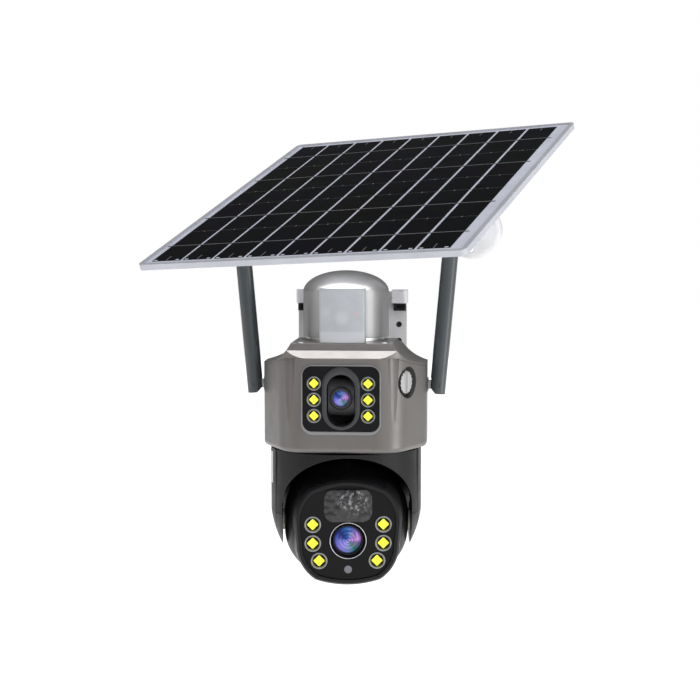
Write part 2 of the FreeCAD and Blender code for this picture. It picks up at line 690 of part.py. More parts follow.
def make_pan_motor():
    """The pan motor: a round can with a mounting flange and a short shaft."""
    x = -(MODULE * (PAN_GEAR_TEETH + PAN_PINION_TEETH) / 2 + GEAR_PLAY)
    can = rod(13.0, V(x, 0, -56.5), V(x, 0, -39))
    flange = box(x - 4, x + 4, -17.0, 17.0, -56.5, -55.3)
    shaft = rod(2.0, V(x, 0, -66.5), V(x, 0, -56.4))
    return on_axis(joined([can, flange, shaft]))


def make_pan_pinion():
    """The small gear on the pan motor's shaft."""
    x = -(MODULE * (PAN_GEAR_TEETH + PAN_PINION_TEETH) / 2 + GEAR_PLAY)
    half_tooth = 180.0 / PAN_PINION_TEETH
    wheel = turned(gear(PAN_PINION_TEETH, 7.0), V(0, 0, 0), Z_AXIS, half_tooth)
    wheel = wheel.cut(rod(2.0 + FIT, V(0, 0, -1), V(0, 0, 8)))
    return on_axis(moved(wheel, V(x, 0, -65.5)))


def make_pan_bearing():
    """The plain bearing in the shoulder's floor that carries the yoke's hub."""
    return on_axis(ring(BEARING_R, HUB_R + FIT, V(0, 0, SHOULDER_BOTTOM), V(0, 0, SHOULDER_BOTTOM + 6)))


def make_service_plug():
    """The round plug with a grip bar that covers the card slot."""
    place, outward = oblique_frame()
    floor = place - outward * (RECESS_DEPTH - CLEAR)
    disc = rod(PLUG_R, floor, place - outward * 1.6)
    stem = rod(4.0 - FIT, floor - outward * 3.0, floor + outward * 0.1)
    across = outward.cross(Z_AXIS)
    grooves = []
    for step in range(16):
        angle = 2 * math.pi * step / 16
        offset = Z_AXIS * (PLUG_R * math.sin(angle)) + across * (PLUG_R * math.cos(angle))
        grooves.append(rod(0.8, floor + offset - outward, place + offset + outward))
    slot = box(-1.1, 1.1, -PLUG_R, PLUG_R, -1.6, 1.6)
    turn = math.degrees(math.atan2(outward.y, outward.x))
    slot = turned(turned(slot, V(0, 0, 0), X_AXIS, 90), V(0, 0, 0), Z_AXIS, turn)
    slot = moved(slot, place - outward * 1.6)
    return on_axis(without(joined([disc, stem]), grooves + [slot]))


# ---- antennas ----------------------------------------------------------------------------------
def antenna_pin_centre():
    return V(ANTENNA_X, 0, ANTENNA_Z)


def leaning(shape):
    """Leans an upright right-hand antenna piece outwards about its pin."""
    return turned(shape, antenna_pin_centre(), Y_AXIS, ANTENNA_LEAN)


def make_antenna_knuckle():
    """The right antenna's elbow: a round collar in the shoulder's bore and a flat eye on the pin."""
    pin = antenna_pin_centre()
    collar = rod(COLLAR_R, V(SIDE - 7.5, 0, ANTENNA_Z), V(SIDE + 0.9, 0, ANTENNA_Z))
    tongue = box(SIDE + 0.6, ANTENNA_X, -TONGUE_HALF, TONGUE_HALF, ANTENNA_Z - 3.2, ANTENNA_Z + 3.2)
    eye = rod(3.9, pin - Y_AXIS * TONGUE_HALF, pin + Y_AXIS * TONGUE_HALF)
    washer = rod(5.6, V(SIDE + 0.3, 0, ANTENNA_Z), V(SIDE + 0.9, 0, ANTENNA_Z))
    hole = rod(ANTENNA_PIN_R + FIT, pin - Y_AXIS * 5, pin + Y_AXIS * 5)
    return on_axis(joined([collar, washer, tongue, eye]).cut(hole))


def make_antenna_rod():
    """The right antenna: a round mast, slightly slimmer at its forked foot."""
    pin = antenna_pin_centre()
    foot = rod(ANTENNA_BASE_R, pin - Z_AXIS * ANTENNA_DOWN, pin + Z_AXIS * 10)
    flare = Part.makeCone(ANTENNA_BASE_R, ANTENNA_R, 22, pin + Z_AXIS * 10, Z_AXIS)
    mast = rod(ANTENNA_R, pin + Z_AXIS * 32, pin + Z_AXIS * ANTENNA_UP)
    tip = [e for e in mast.Edges if e.BoundBox.ZMin > ANTENNA_Z + ANTENNA_UP - 0.01]
    mast = mast.makeFillet(3.0, tip)
    low = ANTENNA_Z - ANTENNA_DOWN
    near = ANTENNA_X - ANTENNA_BASE_R
    cut_x = near + FOOT_CHAMFER
    cut_z = low + FOOT_CHAMFER
    chamfer = polygon([V(near - 1, -10, low - 1), V(cut_x, -10, low - 1), V(cut_x, -10, low),
                       V(near, -10, cut_z), V(near - 1, -10, cut_z)], V(0, 20, 0))
    gap = TONGUE_HALF + 0.3
    fork_gap = box(near - 1, ANTENNA_X + 4.4, -gap, gap, low - 1, ANTENNA_Z + 4.4)
    pin_hole = rod(ANTENNA_PIN_R + 0.02, pin - Y_AXIS * 10, pin + Y_AXIS * 10)
    return on_axis(leaning(without(joined([foot, flare, mast]), [chamfer, fork_gap, pin_hole])))


def make_antenna_pin():
    """The cross pin of the right antenna's fork."""
    pin = antenna_pin_centre()
    reach = ANTENNA_BASE_R - 0.3
    return on_axis(rod(ANTENNA_PIN_R, pin - Y_AXIS * reach, pin + Y_AXIS * reach))


# ---- yoke --------------------------------------------------------------------------------------
def yoke_outside(inset):
    """The yoke's outer form: a drum that draws in below the tilt axis."""
    radius = YOKE_R - inset
    points = (V(radius, 0, YOKE_STRAIGHT), V(radius - 4.2, 0, YOKE_STRAIGHT - 17.5), V(44.5 - inset, 0, YOKE_BOTTOM))
    top = V(radius, 0, YOKE_TOP)
    edges = [Part.makeLine(V(0, 0, YOKE_TOP), top), Part.makeLine(top, points[0]), arc(*points),
             Part.makeLine(points[2], V(0, 0, YOKE_BOTTOM)), Part.makeLine(V(0, 0, YOKE_BOTTOM), V(0, 0, YOKE_TOP))]
    drum = Part.Face(Part.Wire(edges)).revolve(V(0, 0, 0), Z_AXIS, 360)
    flatten = FreeCAD.Matrix()
    flatten.scale(1.0, YOKE_DEPTH / radius, 1.0)
    return drum.transformGeometry(flatten)


def arch_opening():
    """The opening between the arms: an arch at the front, a round pocket behind it, a gap below the wall."""
    low = YOKE_BOTTOM - 5
    curve = upright_ellipse(ARM_INNER, ARCH_TOP - ARCH_SPRING, math.pi, ARCH_SPRING)
    right = V(ARM_INNER, 0, ARCH_SPRING)
    left = V(-ARM_INNER, 0, ARCH_SPRING)
    edges = [curve, Part.makeLine(left, V(left.x, 0, low)), Part.makeLine(V(left.x, 0, low), V(right.x, 0, low)),
             Part.makeLine(V(right.x, 0, low), right)]
    arch = moved(filled(edges, V(0, 2 * YOKE_R, 0)), V(0, -YOKE_R, 0))
    round_back = Part.Arc(Part.Ellipse(V(0, 0, 0), POCKET_HALF, POCKET_DEPTH - POCKET_STRAIGHT), 0, math.pi).toShape()
    corners = [V(-POCKET_HALF, POCKET_STRAIGHT, 0), V(-POCKET_HALF, -YOKE_R - 1, 0),
               V(POCKET_HALF, -YOKE_R - 1, 0), V(POCKET_HALF, POCKET_STRAIGHT, 0)]
    sides = [Part.makeLine(a, b) for a, b in zip(corners, corners[1:])]
    outline = [moved(round_back, V(0, POCKET_STRAIGHT, 0))] + sides
    pocket = moved(filled(outline, V(0, 0, YOKE_TOP - low)), V(0, 0, low))
    gap = box(-RIB_X, RIB_X, 0, YOKE_R, low, WALL_BOTTOM)
    foot = box(-ARM_INNER, ARM_INNER, 0, YOKE_R, low, RIB_BOTTOM)
    return joined([arch.common(pocket), gap, foot])


def cheek(side, start_x):
    """Everything beyond one side's cover seam."""
    block = box(start_x, YOKE_R + 5, -YOKE_R, YOKE_R, YOKE_BOTTOM - 5, YOKE_TOP - 0.01)
    return block if side > 0 else mirrored(block)


def make_yoke_shell():
    """The yoke: a top plate with two arms, its cheeks cut away for the side covers."""
    tilt = V(0, 0, TILT_AXIS_Z)
    body = yoke_outside(0).cut(arch_opening())
    bore = rod(TILT_PIN_R + 0.02, tilt - X_AXIS * (TILT_PIN_END + 0.2), tilt + X_AXIS * (TILT_PIN_END + 0.2))
    cable_hole = rod(HUB_BORE_R, V(0, 0, ARCH_TOP - 2), V(0, 0, YOKE_TOP + 1))
    seam = box(-COVER_SEAM_X - 1, COVER_SEAM_X + 1, -YOKE_R, YOKE_R, ARM_SEAM_Z - 0.2, ARM_SEAM_Z + 0.2)
    seam = seam.cut(yoke_outside(0.5))
    return panned(without(body, [cheek(-1, COVER_SEAM_X), cheek(1, COVER_SEAM_X), cable_hole, bore, seam]))


def make_arm_cover(side):
    """One side cover of the yoke, a shallow cap over the arm."""
    return panned(yoke_outside(0).common(cheek(side, COVER_SEAM_X + 0.15)))


def make_rating_label():
    """The blank white label, curved round the yoke's left side."""
    band = yoke_outside(-0.3).cut(yoke_outside(-0.02))
    window = box(-YOKE_R - 2, -YOKE_R + 6, -12.5, 12.5, -103.5, -79.5)
    return panned(band.common(window))


def make_pan_hub():
    """The yoke's hollow hub with the large pan gear on it."""
    shaft = ring(HUB_R, HUB_BORE_R, V(0, 0, YOKE_TOP), V(0, 0, HUB_TOP))
    wheel = moved(gear(PAN_GEAR_TEETH, 6.0), V(0, 0, -65.0))
    bore = rod(HUB_R - 1, V(0, 0, -66), V(0, 0, -58))
    return on_axis(joined([shaft, wheel.cut(bore)]))


def make_tilt_gear():
    """The left tilt pin, fixed in the yoke's arm, with the gear that the head climbs round."""
    tilt = V(0, 0, TILT_AXIS_Z)
    pin = rod(TILT_PIN_R, tilt - X_AXIS * TILT_PIN_END, tilt + X_AXIS * (TILT_GEAR_X + 4.0))
    wheel = turned(gear(TILT_GEAR_TEETH, 4.0), V(0, 0, 0), Y_AXIS, 90)
    wheel = moved(wheel, tilt + X_AXIS * TILT_GEAR_X)
    bore = rod(5.0, tilt - X_AXIS * 60, tilt)
    return panned(joined([pin, wheel]).cut(bore))


def make_tilt_pin():
    """The right tilt pin, fixed in the yoke's arm."""
    tilt = V(0, 0, TILT_AXIS_Z)
    return panned(ring(TILT_PIN_R, 5.0, tilt + X_AXIS * 40.0, tilt + X_AXIS * TILT_PIN_END))


# ---- head --------------------------------------------------------------------------------------
def head_ball(inset):
    """The head's barrel form about the tilt axis: flat cheeks and an elliptic crown."""
    half = HEAD_HALF_WIDTH - inset
    cheek_r = HEAD_CHEEK_R - inset / 2
    curve = upright_ellipse(half, HEAD_R - inset - cheek_r, math.pi, cheek_r)
    outline = [curve, Part.makeLine(V(-half, 0, cheek_r), V(-half, 0, 0)), Part.makeLine(V(-half, 0, 0), V(half, 0, 0)),
               Part.makeLine(V(half, 0, 0), V(half, 0, cheek_r))]
    return moved(Part.Face(Part.Wire(outline)).revolve(V(0, 0, 0), X_AXIS, 360), V(0, 0, TILT_AXIS_Z))


def face_wire(grow, y, stretch=1.0):
    """The face plate's outline: an arched top, sides that taper a little, a rounded bottom."""
    right = [(26.0, 28.4), (33.2, 18.5), (35.2, 5.0), (33.7, -10.0), (30.8, -22.0), (22.0, -31.9)]
    points = [V(x, 0, z) for x, z in right]
    flip = [V(-p.x, 0, p.z) for p in reversed(points)]
    edges = [arc(flip[-1], V(0, 0, 34.5), points[0]), arc(*points[0:3]), Part.makeLine(points[2], points[3]),
             arc(*points[3:6]), arc(points[5], V(0, 0, -35.4), flip[0]), arc(*flip[0:3]),
             Part.makeLine(flip[2], flip[3]), arc(*flip[3:6])]
    wire = Part.Wire(edges)
    if grow:
        wire = wire.makeOffset2D(grow)
    if stretch != 1.0:
        wire.scale(stretch, V(0, 0, 0))
    wire.translate(V(0, y, FACE_Z))
    return wire


def face_prism(grow, y_front, y_back):
    """The face outline pushed back between two depths."""
    return Part.Face(face_wire(grow, y_front)).extrude(V(0, y_back - y_front, 0))


def head_outside():
    """The whole head: the ball with the rimmed snout on its front."""
    snout = Part.makeLoft([face_wire(RIM_WIDTH, -RIM_FRONT + 2.5), face_wire(RIM_WIDTH, SNOUT_BACK, SNOUT_FLARE)],
                          True, True)
    rim = Part.makeLoft([face_wire(RIM_WIDTH - 1.6, -RIM_FRONT), face_wire(RIM_WIDTH, -RIM_FRONT + 2.5)], True, True)
    return joined([head_ball(0), snout, rim])


def head_inside():
    """The head's hollow."""
    pocket = face_prism(0.15, -RIM_FRONT - 1, -FACE_PLATE_FRONT + FACE_PLATE_THICK)
    throat = face_prism(-1.5, -RIM_FRONT, -12)
    return joined([head_ball(WALL - 0.3), throat]), pocket


def make_head_shells():
    """The head's front shell with its snout, and its rear shell."""
    inside, pocket = head_inside()
    tilt = V(0, 0, TILT_AXIS_Z)
    bush_bore = rod(11.0, tilt - X_AXIS * 60, tilt + X_AXIS * 60)
    microphone = rod(MIC_R, V(0, -22, TILT_AXIS_Z + 22), V(0, -48, TILT_AXIS_Z + 50))
    shell = without(head_outside(), [inside, pocket, bush_bore, microphone])
    front = shell.common(box(-60, 60, -60, HEAD_SEAM - 0.05, -190, -60))
    rear = shell.common(box(-60, 60, HEAD_SEAM + 0.05, 60, -190, -60))
    return panned(front), panned(rear)


def head_led_centres():
    """Where the head's six lamps sit, as X and Z."""
    return [(s * x, z) for s in (-1, 1) for x, z in HEAD_LED_PLACES]


def make_face_plate():
    """The black face plate with its openings for lens, lamps, motion lens and light sensor."""
    front = -FACE_PLATE_FRONT
    back = front + FACE_PLATE_THICK - 0.05
    plate = face_prism(0, front, back)
    lens = rod(HEAD_LENS_R + 0.05, V(0, front - 1, HEAD_LENS_Z), V(0, back + 1, HEAD_LENS_Z))
    lamps = [rod(HEAD_LED_R + 0.05, V(x, front - 1, z), V(x, back + 1, z)) for x, z in head_led_centres()]
    motion = rounded_plate(HEAD_PIR_W - 3, HEAD_PIR_H - 5, 4.0, front - 1, back + 1, HEAD_PIR_Z + 1.5)
    sensor = rod(LIGHT_SENSOR_R + 0.05, V(0, front - 1, LIGHT_SENSOR_Z), V(0, back + 1, LIGHT_SENSOR_Z))
    return panned(without(plate, [lens, motion, sensor] + lamps))


def make_head_motion_lens():
    """The dark bulging motion lens above the main lens, with its spigot through the plate."""
    front = -FACE_PLATE_FRONT
    block = rounded_plate(HEAD_PIR_W, HEAD_PIR_H, 7.0, front - 3.6, front - 0.05, HEAD_PIR_Z + 0.8)
    bulge = Part.makeCylinder(60.0, 80, V(-40, front - 3.6 + 60.0, HEAD_PIR_Z + 4.0), X_AXIS)
    bow = Part.makeCylinder(48.0, 80, V(0, front - 3.6 + 48.0, HEAD_PIR_Z - 40), Z_AXIS)
    block = block.common(bulge).common(bow)
    ring_clear = rod(HEAD_LENS_R + 0.4, V(0, front - 6, HEAD_LENS_Z), V(0, front + 1, HEAD_LENS_Z))
    spigot = rounded_plate(HEAD_PIR_W - 3.4, HEAD_PIR_H - 5.4, 3.8, front - 0.5, front + 5.0, HEAD_PIR_Z + 1.5)
    hollow = rounded_plate(HEAD_PIR_W - 7, HEAD_PIR_H - 9, 2.5, front - 1.2, front + 6.0, HEAD_PIR_Z + 1.5)
    return panned(without(joined([block.cut(ring_clear), spigot]), [hollow]))


def make_head_led_cups():
    front = -FACE_PLATE_FRONT - 0.5
    return [panned(lamp_cup(HEAD_LED_R, front, x, z)) for x, z in head_led_centres()]


def make_head_lens_ring():
    """The bright ring round the main lens, with a dark cone leading in to the glass."""
    front = -FACE_PLATE_FRONT - 0.6
    body = rod(HEAD_LENS_R, V(0, front, HEAD_LENS_Z), V(0, front + 4.5, HEAD_LENS_Z))
    cone = Part.makeCone(13.2, HEAD_BARREL_R + 0.05, 2.6, V(0, front - 0.001, HEAD_LENS_Z), Y_AXIS)
    bore = rod(HEAD_BARREL_R + 0.05, V(0, front, HEAD_LENS_Z), V(0, front + 6, HEAD_LENS_Z))
    return panned(without(body, [cone, bore]))


def make_head_lens_barrel():
    """The main lens barrel, back to the image sensor."""
    front = -FACE_PLATE_FRONT + 1.2
    outer = rod(HEAD_BARREL_R, V(0, front, HEAD_LENS_Z), V(0, -24, HEAD_LENS_Z))
    bore = rod(HEAD_GLASS_R + 0.05, V(0, front - 1, HEAD_LENS_Z), V(0, -27, HEAD_LENS_Z))
    return panned(outer.cut(bore))


def make_head_lens_glass():
    """The main lens's domed front element."""
    ball_r = 15.0
    front = -FACE_PLATE_FRONT - 0.3
    ball = Part.makeSphere(ball_r, V(0, front + ball_r, HEAD_LENS_Z))
    tube = rod(HEAD_GLASS_R, V(0, front - 2, HEAD_LENS_Z), V(0, front + 4.6, HEAD_LENS_Z))
    return panned(ball.common(tube))


def make_light_sensor():
    """The light sensor's small round window."""
    front = -FACE_PLATE_FRONT
    return panned(rod(LIGHT_SENSOR_R, V(0, front - 0.2, LIGHT_SENSOR_Z), V(0, front + 4, LIGHT_SENSOR_Z)))


def make_camera_board():
    """The image sensor's board behind the barrel."""
    board = box(-16, 16, -23.95, -22.4, -157, -126)
    chip = box(-5, 5, -22.4, -20.8, HEAD_LENS_Z - 5, HEAD_LENS_Z + 5)
    return panned(board.fuse(chip).removeSplitter())


def tilt_pinion_offset():
    """The tilt pinion's place from the tilt axis: up and to the back."""
    distance = MODULE * (TILT_GEAR_TEETH + TILT_PINION_TEETH) / 2 + GEAR_PLAY
    lean = math.radians(TILT_PINION_LEAN)
    return V(0, distance * math.cos(lean), TILT_AXIS_Z + distance * math.sin(lean))


def make_tilt_motor():
    """The tilt motor inside the head, lying along the tilt axis, with its shaft."""
    at = tilt_pinion_offset()
    can = rod(10.0, at + X_AXIS * (TILT_GEAR_X + 6.0), at + X_AXIS * (TILT_GEAR_X + 22.0))
    shaft = rod(1.5, at + X_AXIS * (TILT_GEAR_X - 0.5), at + X_AXIS * (TILT_GEAR_X + 6.1))
    return panned(can.fuse(shaft).removeSplitter())


def make_tilt_pinion():
    """The small gear on the tilt motor's shaft, meshing with the fixed gear."""
    at = tilt_pinion_offset()
    wheel = gear(TILT_PINION_TEETH, 5.0).cut(rod(1.5 + FIT, V(0, 0, -1), V(0, 0, 6)))
    wheel = turned(wheel, V(0, 0, 0), Y_AXIS, 90)
    wheel = turned(wheel, V(0, 0, 0), X_AXIS, TILT_PINION_TURN)
    return panned(moved(wheel, at + X_AXIS * (TILT_GEAR_X - 0.3)))


def make_tilt_bushes():
    """The two bushes in the head's cheeks that turn on the tilt pins."""
    tilt = V(0, 0, TILT_AXIS_Z)
    bush = ring(10.97, TILT_PIN_R + FIT, tilt + X_AXIS * 42.6, tilt + X_AXIS * HEAD_HALF_WIDTH)
    return [panned(bush), panned(mirrored(bush))]


# ---- solar panel and its bracket ---------------------------------------------------------------
def panel_axes():
    """The panel's width, depth and upward directions."""
    yaw = math.radians(PANEL_YAW)
    rise = math.radians(PANEL_RISE)
    roll = math.radians(PANEL_ROLL)
    depth = V(math.sin(yaw) * math.cos(rise), math.cos(yaw) * math.cos(rise), math.sin(rise))
    level = V(math.cos(yaw), -math.sin(yaw), 0)
    width = level * math.cos(roll) + level.cross(depth) * math.sin(roll)
    return width, depth, width.cross(depth)


def set_in(shape, x_dir, y_dir, z_dir, origin):
    """Moves a shape from its own axes into the given ones."""
    matrix = FreeCAD.Matrix(x_dir.x, y_dir.x, z_dir.x, origin.x, x_dir.y, y_dir.y, z_dir.y, origin.y,
                            x_dir.z, y_dir.z, z_dir.z, origin.z, 0, 0, 0, 1)
    copy = shape.copy()
    copy.Placement = FreeCAD.Placement(matrix).multiply(copy.Placement)
    return copy


def on_panel(shape):
    """Places a piece drawn flat, top face at Z = 0, on the tilted panel."""
    width, depth, up = panel_axes()
    return set_in(shape, width, depth, up, PANEL_CENTRE)


def hinge_pin_centre():
    return PANEL_CENTRE - panel_axes()[2] * HINGE_DROP


def post_axes():
    """The bracket's own axes at the hinge pin: along the pin, level and forwards, and up the post."""
    width = panel_axes()[0]
    up = (Z_AXIS - width * width.z).normalize()
    return width, up.cross(width), up


def on_post(shape):
    """Places a piece drawn about the hinge pin with its post pointing down."""
    x_dir, y_dir, z_dir = post_axes()
    return set_in(shape, x_dir, y_dir, z_dir, hinge_pin_centre())


def flat_plate(width, depth, corner, z_low, z_high):
    """A level rounded rectangle between two heights."""
    plate = box(-width / 2, width / 2, -depth / 2, depth / 2, z_low, z_high)
    uprights = [e for e in plate.Edges if e.BoundBox.XLength < 0.01 and e.BoundBox.YLength < 0.01]
    return plate.makeFillet(corner, uprights)


def make_panel_frame():
    """The panel's thin white frame: a raised rim with a ledge for the laminate."""
    outside = flat_plate(PANEL_WIDTH, PANEL_DEPTH, PANEL_CORNER, -PANEL_THICK, 0)
    seat = flat_plate(PANEL_WIDTH - 2 * FRAME_LIP, PANEL_DEPTH - 2 * FRAME_LIP, 1.5, -PANEL_THICK + 1.2, 1)
    opening = flat_plate(PANEL_WIDTH - 24, PANEL_DEPTH - 24, 1.5, -PANEL_THICK - 1, 1)
    return on_panel(without(outside, [seat, opening]))


def make_panel_laminate():
    """The white backing sheet that carries the cells."""
    room = 2 * FRAME_LIP + 0.1
    return on_panel(flat_plate(PANEL_WIDTH - room, PANEL_DEPTH - room, 1.4, -PANEL_THICK + 1.2, -0.8))


def cell_columns():
    """The left and right edge of each cell strip, in the panel's own axes."""
    left = -PANEL_WIDTH / 2 + MARGIN_LEFT
    right = PANEL_WIDTH / 2 - MARGIN_RIGHT
    pitch = (right - left + CELL_GAP) / CELL_COLUMNS
    return [(left + i * pitch, left + (i + 1) * pitch - CELL_GAP) for i in range(CELL_COLUMNS)]


def make_panel_cells():
    """The dark cell strips, side by side with narrow gaps."""
    half = PANEL_DEPTH / 2 - MARGIN_ENDS
    return [on_panel(box(x0, x1, -half, half, -0.8, -0.4)) for x0, x1 in cell_columns()]


def make_panel_junction_box():
    """The flat connection box on the panel's back."""
    top = -PANEL_THICK + 1.2
    shell = moved(flat_plate(56, 38, 4.0, top - 14, top), V(0, 62, 0))
    lid_edges = [e for e in shell.Edges if e.BoundBox.ZMax < top - 13.99]
    return on_panel(shell.makeFillet(2.0, lid_edges))


def make_panel_bracket():
    """The hinged bracket on the panel's back: a plate with two round-ended lugs."""
    top = -PANEL_THICK + 1.2
    low = top - 2.6
    plate = flat_plate(70, 60, 6.0, low, top)
    lugs = []
    for side in (-1, 1):
        x0 = side * LUG_GAP if side > 0 else -LUG_GAP - LUG_THICK
        web = box(x0, x0 + LUG_THICK, -7.5, 7.5, -HINGE_DROP, low + 0.5)
        end = rod(7.5, V(x0, 0, -HINGE_DROP), V(x0 + LUG_THICK, 0, -HINGE_DROP))
        lugs.append(web.fuse(end))
    hole = rod(BOLT_R + FIT, V(-30, 0, -HINGE_DROP), V(30, 0, -HINGE_DROP))
    return on_panel(joined([plate] + lugs).cut(hole))


def make_swivel_eye():
    """The swivel: a round foot that turns on the arm's pad, with an eye up to the hinge pin."""
    half = LUG_GAP - CLEAR
    eye = rod(EYE_R, V(-half, 0, 0), V(half, 0, 0))
    web = box(-half, half, -EYE_R, EYE_R, PAD_TOP + 0.3, 0)
    foot = rod(PAD_R, V(0, 0, PAD_TOP + 0.3), V(0, 0, PAD_TOP + 3.1))
    hole = rod(BOLT_R + 0.02, V(-20, 0, 0), V(20, 0, 0))
    bolt_hole = rod(BOLT_R + FIT, V(0, 0, PAD_TOP), V(0, 0, PAD_TOP + 7.0))
    return on_post(without(joined([eye, web, foot]), [hole, bolt_hole]))


def make_hinge_bolt():
    """The cross bolt of the panel's hinge, with a round head and a nut."""
    outer = LUG_GAP + LUG_THICK + CLEAR
    shank = rod(BOLT_R, V(-outer - 3, 0, 0), V(outer + 3, 0, 0))
    head = rod(5.5, V(outer, 0, 0), V(outer + 3.5, 0, 0))
    nut = rod(5.0, V(-outer - 3.5, 0, 0), V(-outer, 0, 0))
    return on_post(joined([shank, head, nut]))


def make_pad_bolt():
    """The upright bolt that holds the swivel on the arm's pad."""
    low = PAD_TOP - PAD_THICK
    shank = rod(BOLT_R, V(0, 0, low), V(0, 0, PAD_TOP + 6.5))
    head = rod(5.5, V(0, 0, low - 3.0), V(0, 0, low))
    return on_post(joined([shank, head]))


def arm_route():
    """The arm tube's corner points, from the wall flange to the pad."""
    width, level, up = post_axes()
    pad = hinge_pin_centre() + up * (PAD_TOP - PAD_THICK / 2)
    bend = V(46.0, -44.0, 86.0)
    reach = (bend - pad).normalize() * (PAD_R - 4.0)
    return [V(FLANGE_X, -FLANGE_THICK + 1.0, FLANGE_Z), V(FLANGE_X, -29.0, FLANGE_Z), bend, pad + reach]


def bent_wire(points, bend_radius):
    """Straight runs joined by tangent arcs."""
    edges = []
    start = points[0]
    for before, corner, after in zip(points, points[1:], points[2:]):
        back = (before - corner).normalize()
        ahead = (after - corner).normalize()
        half_turn = (math.pi - back.getAngle(ahead)) / 2
        trim = bend_radius * math.tan(half_turn)
        first = corner + back * trim
        last = corner + ahead * trim
        bisector = (back + ahead).normalize()
        centre = corner + bisector * (bend_radius / math.cos(half_turn))
        middle = centre - bisector * bend_radius
        edges.append(Part.makeLine(start, first))
        edges.append(arc(first, middle, last))
        start = last
    edges.append(Part.makeLine(start, points[-1]))
    return Part.Wire(edges)


def make_panel_arm():
    """The bent arm tube with the round pad at its end."""
    route = arm_route()
    path = bent_wire(route, BEND_R)
    circle = Part.Wire(Part.makeCircle(ARM_TUBE_R, route[0], Y_AXIS))
    tube = path.makePipeShell([circle], True, False)
    low = PAD_TOP - PAD_THICK
    pad = on_post(rod(PAD_R, V(0, 0, low), V(0, 0, PAD_TOP)))
    arm = joined([tube, pad])
    foot = on_post(rod(PAD_R + 6, V(0, 0, PAD_TOP), V(0, 0, PAD_TOP + 20)))
    under = on_post(rod(6.2, V(0, 0, low - 20), V(0, 0, low)))
    hole = on_post(rod(BOLT_R + 0.05, V(0, 0, low - 1), V(0, 0, PAD_TOP + 1)))
    return without(arm, [foot, under, hole])


def make_panel_flange():
    """The round wall flange of the panel's arm, with three screw holes."""
    disc = rod(FLANGE_R, V(FLANGE_X, 0, FLANGE_Z), V(FLANGE_X, -FLANGE_THICK, FLANGE_Z))
    front = [e for e in disc.Edges if e.BoundBox.YMax < -FLANGE_THICK + 0.01]
    disc = disc.makeFillet(5.5, front)
    holes = []
    for degrees in (-97.0, 23.0, 143.0):
        angle = math.radians(degrees)
        at = V(FLANGE_X + FLANGE_HOLE_CIRCLE * math.cos(angle), 1, FLANGE_Z + FLANGE_HOLE_CIRCLE * math.sin(angle))
        holes.append(rod(FLANGE_HOLE_R, at, at - Y_AXIS * 20))
    boss = rod(9.5, V(FLANGE_X, -FLANGE_THICK, FLANGE_Z), V(FLANGE_X, -FLANGE_THICK - 5.0, FLANGE_Z))
    socket = rod(ARM_TUBE_R + 0.03, V(FLANGE_X, -FLANGE_THICK + 1.0, FLANGE_Z), V(FLANGE_X, -FLANGE_THICK - 6.0, FLANGE_Z))
    return without(joined([disc, boss]), holes + [socket])


# ---- every node --------------------------------------------------------------------------------
def write_all():
    os.makedirs("parts", exist_ok=True)
    front_shell, rear_shell = make_head_shells()
    knuckle = make_antenna_knuckle()
    mast = make_antenna_rod()
    pin = make_antenna_pin()
    nodes = {
        "wall_plate": [make_wall_plate()],
        "hook_blocks": make_hook_blocks(),
        "arm_housing": [make_arm_housing()],
        "arm_base_ring": [make_arm_base_ring()],
        "motion_window": [make_pir_window()],
        "motion_sensor": [make_pir_sensor()],
        "top_cover": [make_top_cover()],
        "cover_screws": make_cover_screws(),
        "body_seal": [make_body_seal()],
        "shoulder_housing": [make_shoulder_housing()],
        "charge_inlet": [make_charge_inlet()],
        "window_bezel": [make_window_bezel()],
        "front_window": [make_front_window()],
        "upper_lamp_cups": make_upper_led_cups(),
        "lens_shroud": [make_lens_shroud()],
        "upper_lens_carriage": [make_upper_carriage()],
        "upper_lens_barrel": [make_upper_lens_barrel()],
        "upper_lens_glass": [make_upper_lens_glass()],
        "main_board": [make_main_board(), make_card_slot()],
        "battery_cells": make_battery_cells(),
        "battery_holder": [make_battery_holder()],
        "speaker": [make_speaker()],
        "pan_motor": [make_pan_motor()],
        "pan_pinion": [make_pan_pinion()],
        "pan_bearing": [make_pan_bearing()],
        "service_plug": [make_service_plug()],
        "antenna_knuckle_right": [knuckle],
        "antenna_knuckle_left": [mirrored(knuckle)],
        "antenna_mast_right": [mast],
        "antenna_mast_left": [mirrored(mast)],
        "antenna_pin_right": [pin],
        "antenna_pin_left": [mirrored(pin)],
        "yoke_shell": [make_yoke_shell()],
        "yoke_covers": [make_arm_cover(-1), make_arm_cover(1)],
        "rating_label": [make_rating_label()],
        "pan_hub": [make_pan_hub()],
        "tilt_pins": [make_tilt_gear(), make_tilt_pin()],
        "head_front_shell": [front_shell],
        "head_rear_shell": [rear_shell],
        "face_plate": [make_face_plate()],
        "head_motion_lens": [make_head_motion_lens()],
        "head_lamp_cups": make_head_led_cups(),
        "head_lens_ring": [make_head_lens_ring()],
        "head_lens_barrel": [make_head_lens_barrel()],
        "head_lens_glass": [make_head_lens_glass()],
        "light_sensor": [make_light_sensor()],
        "camera_board": [make_camera_board()],
        "tilt_motor": [make_tilt_motor()],
        "tilt_pinion": [make_tilt_pinion()],
        "tilt_bushes": make_tilt_bushes(),
        "panel_flange": [make_panel_flange()],
        "panel_arm": [make_panel_arm()],
        "pad_bolt": [make_pad_bolt()],
        "swivel_eye": [make_swivel_eye()],
        "hinge_bolt": [make_hinge_bolt()],
        "panel_bracket": [make_panel_bracket()],
        "panel_junction_box": [make_panel_junction_box()],
        "panel_frame": [make_panel_frame()],
        "panel_laminate": [make_panel_laminate()],
        "panel_cells": make_panel_cells(),
    }
    print(len(nodes), "nodes")
    for name, shapes in nodes.items():
        write(name, shapes)


write_all()
